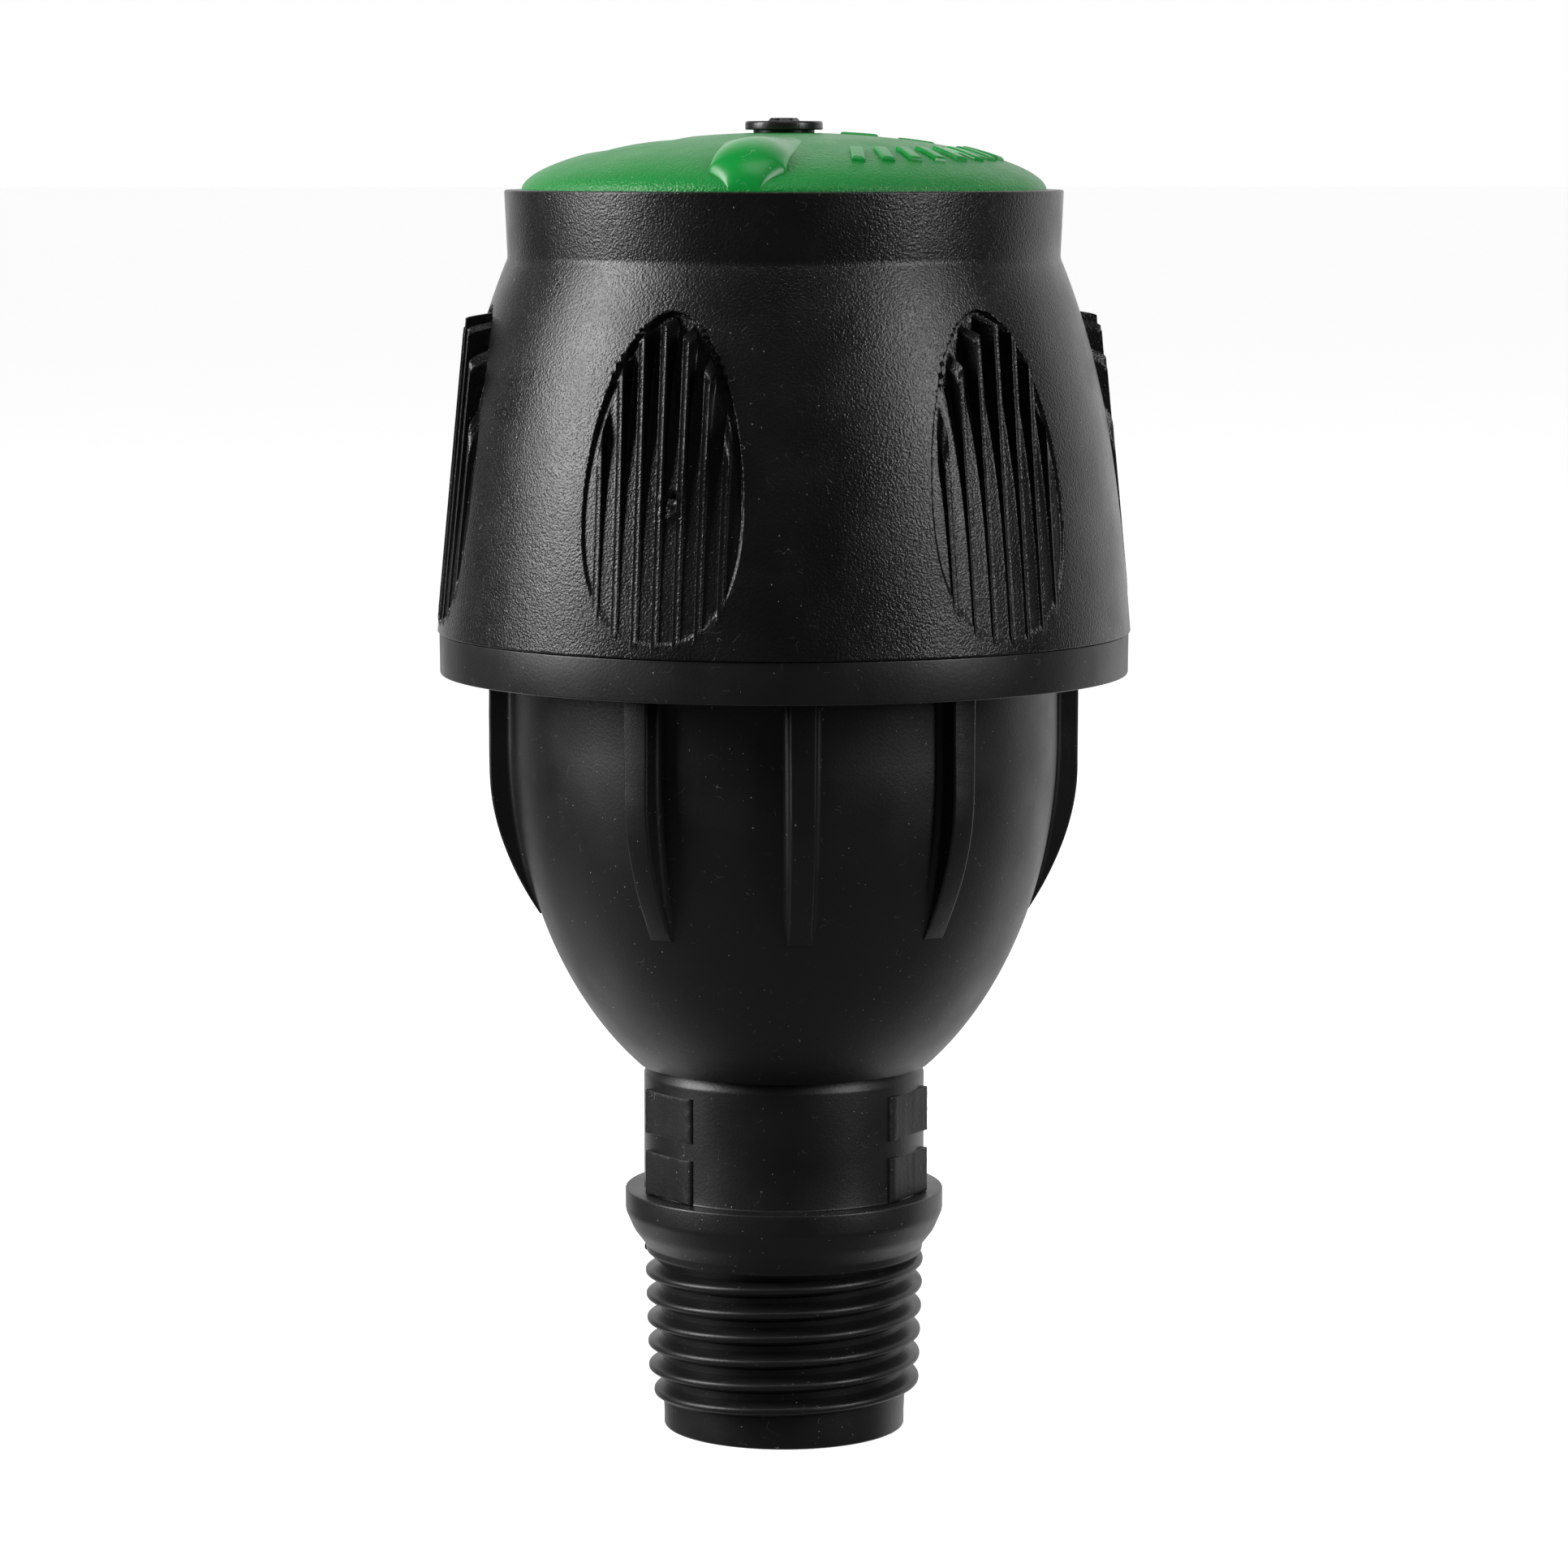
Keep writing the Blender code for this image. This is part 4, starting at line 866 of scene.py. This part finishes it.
    @staticmethod
    def raised_bar(name, middle, heading, length, width, sizes):
        """A raised bar on the dome: a rounded rectangle whose height falls over its edges."""
        edge, deep = MARK_EDGE, MARK_DEPTH
        quarter = np.linspace(0, np.pi / 2, 6)
        inset, drop = edge * (1 - np.cos(quarter)), edge * (1 - np.sin(quarter))
        u_in = np.linspace(-length / 2 + edge, length / 2 - edge, 14)[1:-1]
        v_in = np.linspace(-width / 2 + edge, width / 2 - edge, 6)[1:-1]
        u = np.concatenate([[-length / 2], -length / 2 + inset, u_in, length / 2 - inset[::-1], [length / 2]])
        v = np.concatenate([[-width / 2], -width / 2 + inset, v_in, width / 2 - inset[::-1], [width / 2]])
        fall_u = np.concatenate([[deep], drop, 0 * u_in, drop[::-1], [deep]])
        fall_v = np.concatenate([[deep], drop, 0 * v_in, drop[::-1], [deep]])
        fall = np.maximum(fall_u[None], fall_v[:, None])
        u, v = np.meshgrid(u, v)
        turn = math.radians(heading)
        x = middle[0] + u * math.cos(turn) - v * math.sin(turn)
        y = middle[1] + u * math.sin(turn) + v * math.cos(turn)
        z = dome_height_at(np.hypot(x, y), sizes) + MARK_HEIGHT - fall
        return surface(name, np.stack([x, y, z], -1), caps=True)

    def execute(self, context):
        sizes = context.scene.sprinkler_sizes
        made = finishes()
        finish_piece(self.dome(sizes), made["cap_green"], "green_plastic", "head", "head_cap")
        finish_piece(self.hood(sizes), made["hood_green"], "green_plastic", "head", "head_cap")
        marks = []
        for i in range(8):
            azimuth = 17 + 8.2 * i
            middle = around(14.8 * MM, math.radians(azimuth), 0.0)[:2]
            marks.append((middle, azimuth + 72, 3.0 * MM, 0.95 * MM))
        marks.append(((5.9 * MM, 4.2 * MM), -8, 2.8 * MM, 1.2 * MM))
        marks.append(((10.2 * MM, 4.6 * MM), -14, 2.8 * MM, 1.2 * MM))
        for i, (middle, heading, length, width) in enumerate(marks):
            bar = self.raised_bar(f"cap_mark_{i + 1}", middle, heading, length, width, sizes)
            finish_piece(bar, made["hood_green"], "green_plastic", "head", "head_cap")
        return {"FINISHED"}


class CapPin(bpy.types.Operator):
    """Build the flanged pin in the middle of the cap"""

    bl_idname = "sprinkler.cap_pin"
    bl_label = "Cap pin"

    def execute(self, context):
        """A turned pin whose stub has its sides pushed in and out to leave six facets."""
        top = PIN_BOX[1][2]
        outline = filleted(
            [(0.0, top - 0.02 * MM), (0.98 * MM, top), (1.18 * MM, 97.5 * MM), (2.85 * MM, 97.5 * MM),
             (2.85 * MM, 96.86 * MM), (2.25 * MM, 96.86 * MM), (2.25 * MM, 96.3 * MM), (1.3 * MM, 96.3 * MM),
             (1.3 * MM, 92.0 * MM), (0.0, 92.0 * MM)],
            np.array([0, 0.06, 0.06, 0.2, 0.1, 0.05, 0.1, 0.1, 0.2, 0]) * MM, 5)
        turn = np.linspace(0, 2 * np.pi, 120, endpoint=False)[None]
        r, z = outline[:, :1], outline[:, 1:]
        facet = 1 - 0.12 * np.abs(((turn * 3 / np.pi) % 1) - 0.5) * 2
        r = np.where((z > 97.52 * MM) & (r < 1.6 * MM), r * facet, r + 0 * turn)
        pin = surface("cap_pin_turned", around(r, turn, z), wrap_columns=True)
        finish_piece(pin, finishes()["pin_black"], "pin_plastic", "head", "cap_pin")
        return {"FINISHED"}


class ReturnSpring(bpy.types.Operator):
    """Build the return spring, a coil that rides on the carriage"""

    bl_idname = "sprinkler.return_spring"
    bl_label = "Return spring"

    def execute(self, context):
        """A round wire carried along a helix between the spring's lowest and highest points; the coil keeps
        its shape.
        """
        turns, coil_r, wire_r = 5, 10.0 * MM, 0.5 * MM
        low, high = SPRING_BOX[0][2], SPRING_BOX[1][2]
        share = np.linspace(0, 1, turns * 96)[:, None]
        section = np.linspace(0, 2 * np.pi, 16, endpoint=False)[None]
        middle = low + wire_r + (high - low - 2 * wire_r) * share
        radius = coil_r + wire_r * np.cos(section)
        points = around(radius, 2 * np.pi * turns * share, middle + wire_r * np.sin(section))
        spring = surface("return_spring_coil", points, wrap_columns=True, caps=True)
        finish_piece(spring, finishes()["drawn_steel"], "stainless", "carriage", "return_spring")
        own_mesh(spring)
        return {"FINISHED"}


class InnerParts(bpy.types.Operator):
    """Give the carried-over inner parts their materials"""

    bl_idname = "sprinkler.inner_parts"
    bl_label = "Inner parts"

    def execute(self, context):
        made = finishes()
        by_slot = {
            "elastomer": "seal_rubber", "natural_plastic": "natural_acetal", "jet_plastic": "jet_acetal",
            "stainless": "drawn_steel", "ball_steel": "ball_steel", "body_plastic": "body_black",
            "cover_plastic": "cover_black", "green_plastic": "cap_green", "pin_plastic": "pin_black",
        }
        for part in frame["record"]["subparts"]:
            piece = frame["nodes"][part["node"]]
            piece.data.materials.clear()
            piece.data.materials.append(made[by_slot[part["material_slot"]]])
        return {"FINISHED"}


class Stage(bpy.types.Operator):
    """Set the floor, the soft lights and the camera"""

    bl_idname = "sprinkler.stage"
    bl_label = "Floor, light and camera"

    @staticmethod
    def softbox(name, azimuth, distance, height, width, tall, power):
        """An area light on a circle round the object, facing its axis."""
        data = bpy.data.lights.new(name, "AREA")
        data.shape = "RECTANGLE"
        data.size, data.size_y = width, tall
        data.energy = power
        lamp = bpy.data.objects.new(name, data)
        lamp.location = around(distance, math.radians(azimuth), height)
        aim = Vector((0, 0, LIGHT_AIM_Z)) - lamp.location
        lamp.rotation_euler = aim.to_track_quat("-Z", "Y").to_euler()
        bpy.context.scene.collection.objects.link(lamp)

    @staticmethod
    def floor():
        """A wide pale floor that the camera sees, kept out of the object's reflections."""
        run = np.linspace(-FLOOR_HALF, FLOOR_HALF, 30)
        points = np.stack(np.broadcast_arrays(run[None], run[:, None], FLOOR_Z), -1)
        made = surface("studio_floor", points)
        made.visible_glossy = False
        made.visible_diffuse = False
        material = bpy.data.materials.new("floor_paper")
        material.use_nodes = True
        tree = material.node_tree
        shader = tree.nodes["Principled BSDF"]
        shader.inputs["Roughness"].default_value = 0.9
        shader.inputs["Specular IOR Level"].default_value = 0.1
        shader.inputs["Emission Color"].default_value = (1.0, 1.0, 1.0, 1.0)
        shader.inputs["Emission Strength"].default_value = 0.8
        place = tree.nodes.new("ShaderNodeTexCoord").outputs["Object"]
        tone = blend_colour(tree, noise(tree, place, 30.0, 3.0), (0.80, 0.80, 0.80), (0.84, 0.84, 0.84))
        tree.links.new(tone, shader.inputs["Base Color"])
        made.data.materials.append(material)

    @staticmethod
    def world():
        """A sky that is dark in front, bright behind and, low down, bright at the back like a table."""
        made = bpy.data.worlds.new("studio")
        made.use_nodes = True
        tree = made.node_tree
        background = tree.nodes["Background"]
        direction = tree.nodes.new("ShaderNodeTexCoord").outputs["Generated"]
        split = tree.nodes.new("ShaderNodeSeparateXYZ")
        tree.links.new(direction, split.inputs["Vector"])
        slant = spread(tree, split.outputs["X"], -1, 1, -0.35, 0.35)
        behind = spread(tree, combine(tree, "ADD", split.outputs["Y"], slant), 0.5, 0.8, 0.04, 1.0)
        low = spread(tree, split.outputs["Z"], -0.25, -0.55, 0.0, 1.0)
        back = spread(tree, split.outputs["Y"], 0.1, 0.5, 0.17, 1.0)
        level = combine(tree, "MAXIMUM", behind, combine(tree, "MULTIPLY", low, back))
        tree.links.new(level, background.inputs["Strength"])
        background.inputs["Color"].default_value = (1.0, 1.0, 1.0, 1.0)
        return made

    @staticmethod
    def camera():
        """The camera, on a circle round the object, turned towards its axis and a little down."""
        data = bpy.data.cameras.new("camera")
        data.sensor_width = 36.0
        data.lens = CAMERA_LENS
        data.clip_start = 0.01
        made = bpy.data.objects.new("camera", data)
        made.location = around(CAMERA_DISTANCE, CAMERA_AZIMUTH, CAMERA_HEIGHT)
        made.rotation_euler = Euler((math.pi / 2 - CAMERA_PITCH, 0.0, CAMERA_AZIMUTH))
        bpy.context.scene.collection.objects.link(made)
        return made

    def execute(self, context):
        self.floor()
        for name, setting in SOFTBOXES.items():
            self.softbox(name, *setting)
        context.scene.world = self.world()
        context.scene.camera = self.camera()
        context.scene.view_settings.view_transform = "Standard"
        return {"FINISHED"}


class SprinklerPanel(bpy.types.Panel):
    """Sizes, colours and pieces of the sprinkler head"""

    bl_idname = "VIEW3D_PT_sprinkler"
    bl_label = "Sprinkler head"
    bl_space_type = "VIEW_3D"
    bl_region_type = "UI"
    bl_category = "Sprinkler"

    def draw(self, context):
        layout = self.layout
        for group in (context.scene.sprinkler_sizes, context.scene.sprinkler_colours):
            column = layout.column(align=True)
            for name in group.__annotations__:
                column.prop(group, name)
        for operator in OPERATORS:
            layout.operator(operator.bl_idname)


OPERATORS = (BodyShell, BodyRibs, NeckPads, InletThread, CoverPanels, CoverWell, HeadCap, CapPin,
             ReturnSpring, InnerParts, Stage)
CLASSES = (SprinklerSizes, SprinklerColours, *OPERATORS, SprinklerPanel)


def register():
    """Register the classes and hang the two property groups on the scene."""
    for cls in CLASSES:
        bpy.utils.register_class(cls)
    bpy.types.Scene.sprinkler_sizes = bpy.props.PointerProperty(type=SprinklerSizes)
    bpy.types.Scene.sprinkler_colours = bpy.props.PointerProperty(type=SprinklerColours)


def unregister():
    """Take away what register added."""
    del bpy.types.Scene.sprinkler_colours
    del bpy.types.Scene.sprinkler_sizes
    for cls in reversed(CLASSES):
        bpy.utils.unregister_class(cls)


def main():
    """Build every piece and the stage."""
    register()
    bpy.ops.sprinkler.body_shell()
    bpy.ops.sprinkler.body_ribs()
    bpy.ops.sprinkler.neck_pads()
    bpy.ops.sprinkler.inlet_thread()
    bpy.ops.sprinkler.cover_panels()
    bpy.ops.sprinkler.cover_well()
    bpy.ops.sprinkler.head_cap()
    bpy.ops.sprinkler.cap_pin()
    bpy.ops.sprinkler.return_spring()
    bpy.ops.sprinkler.inner_parts()
    bpy.ops.sprinkler.stage()


if __name__ == "__main__":
    main()
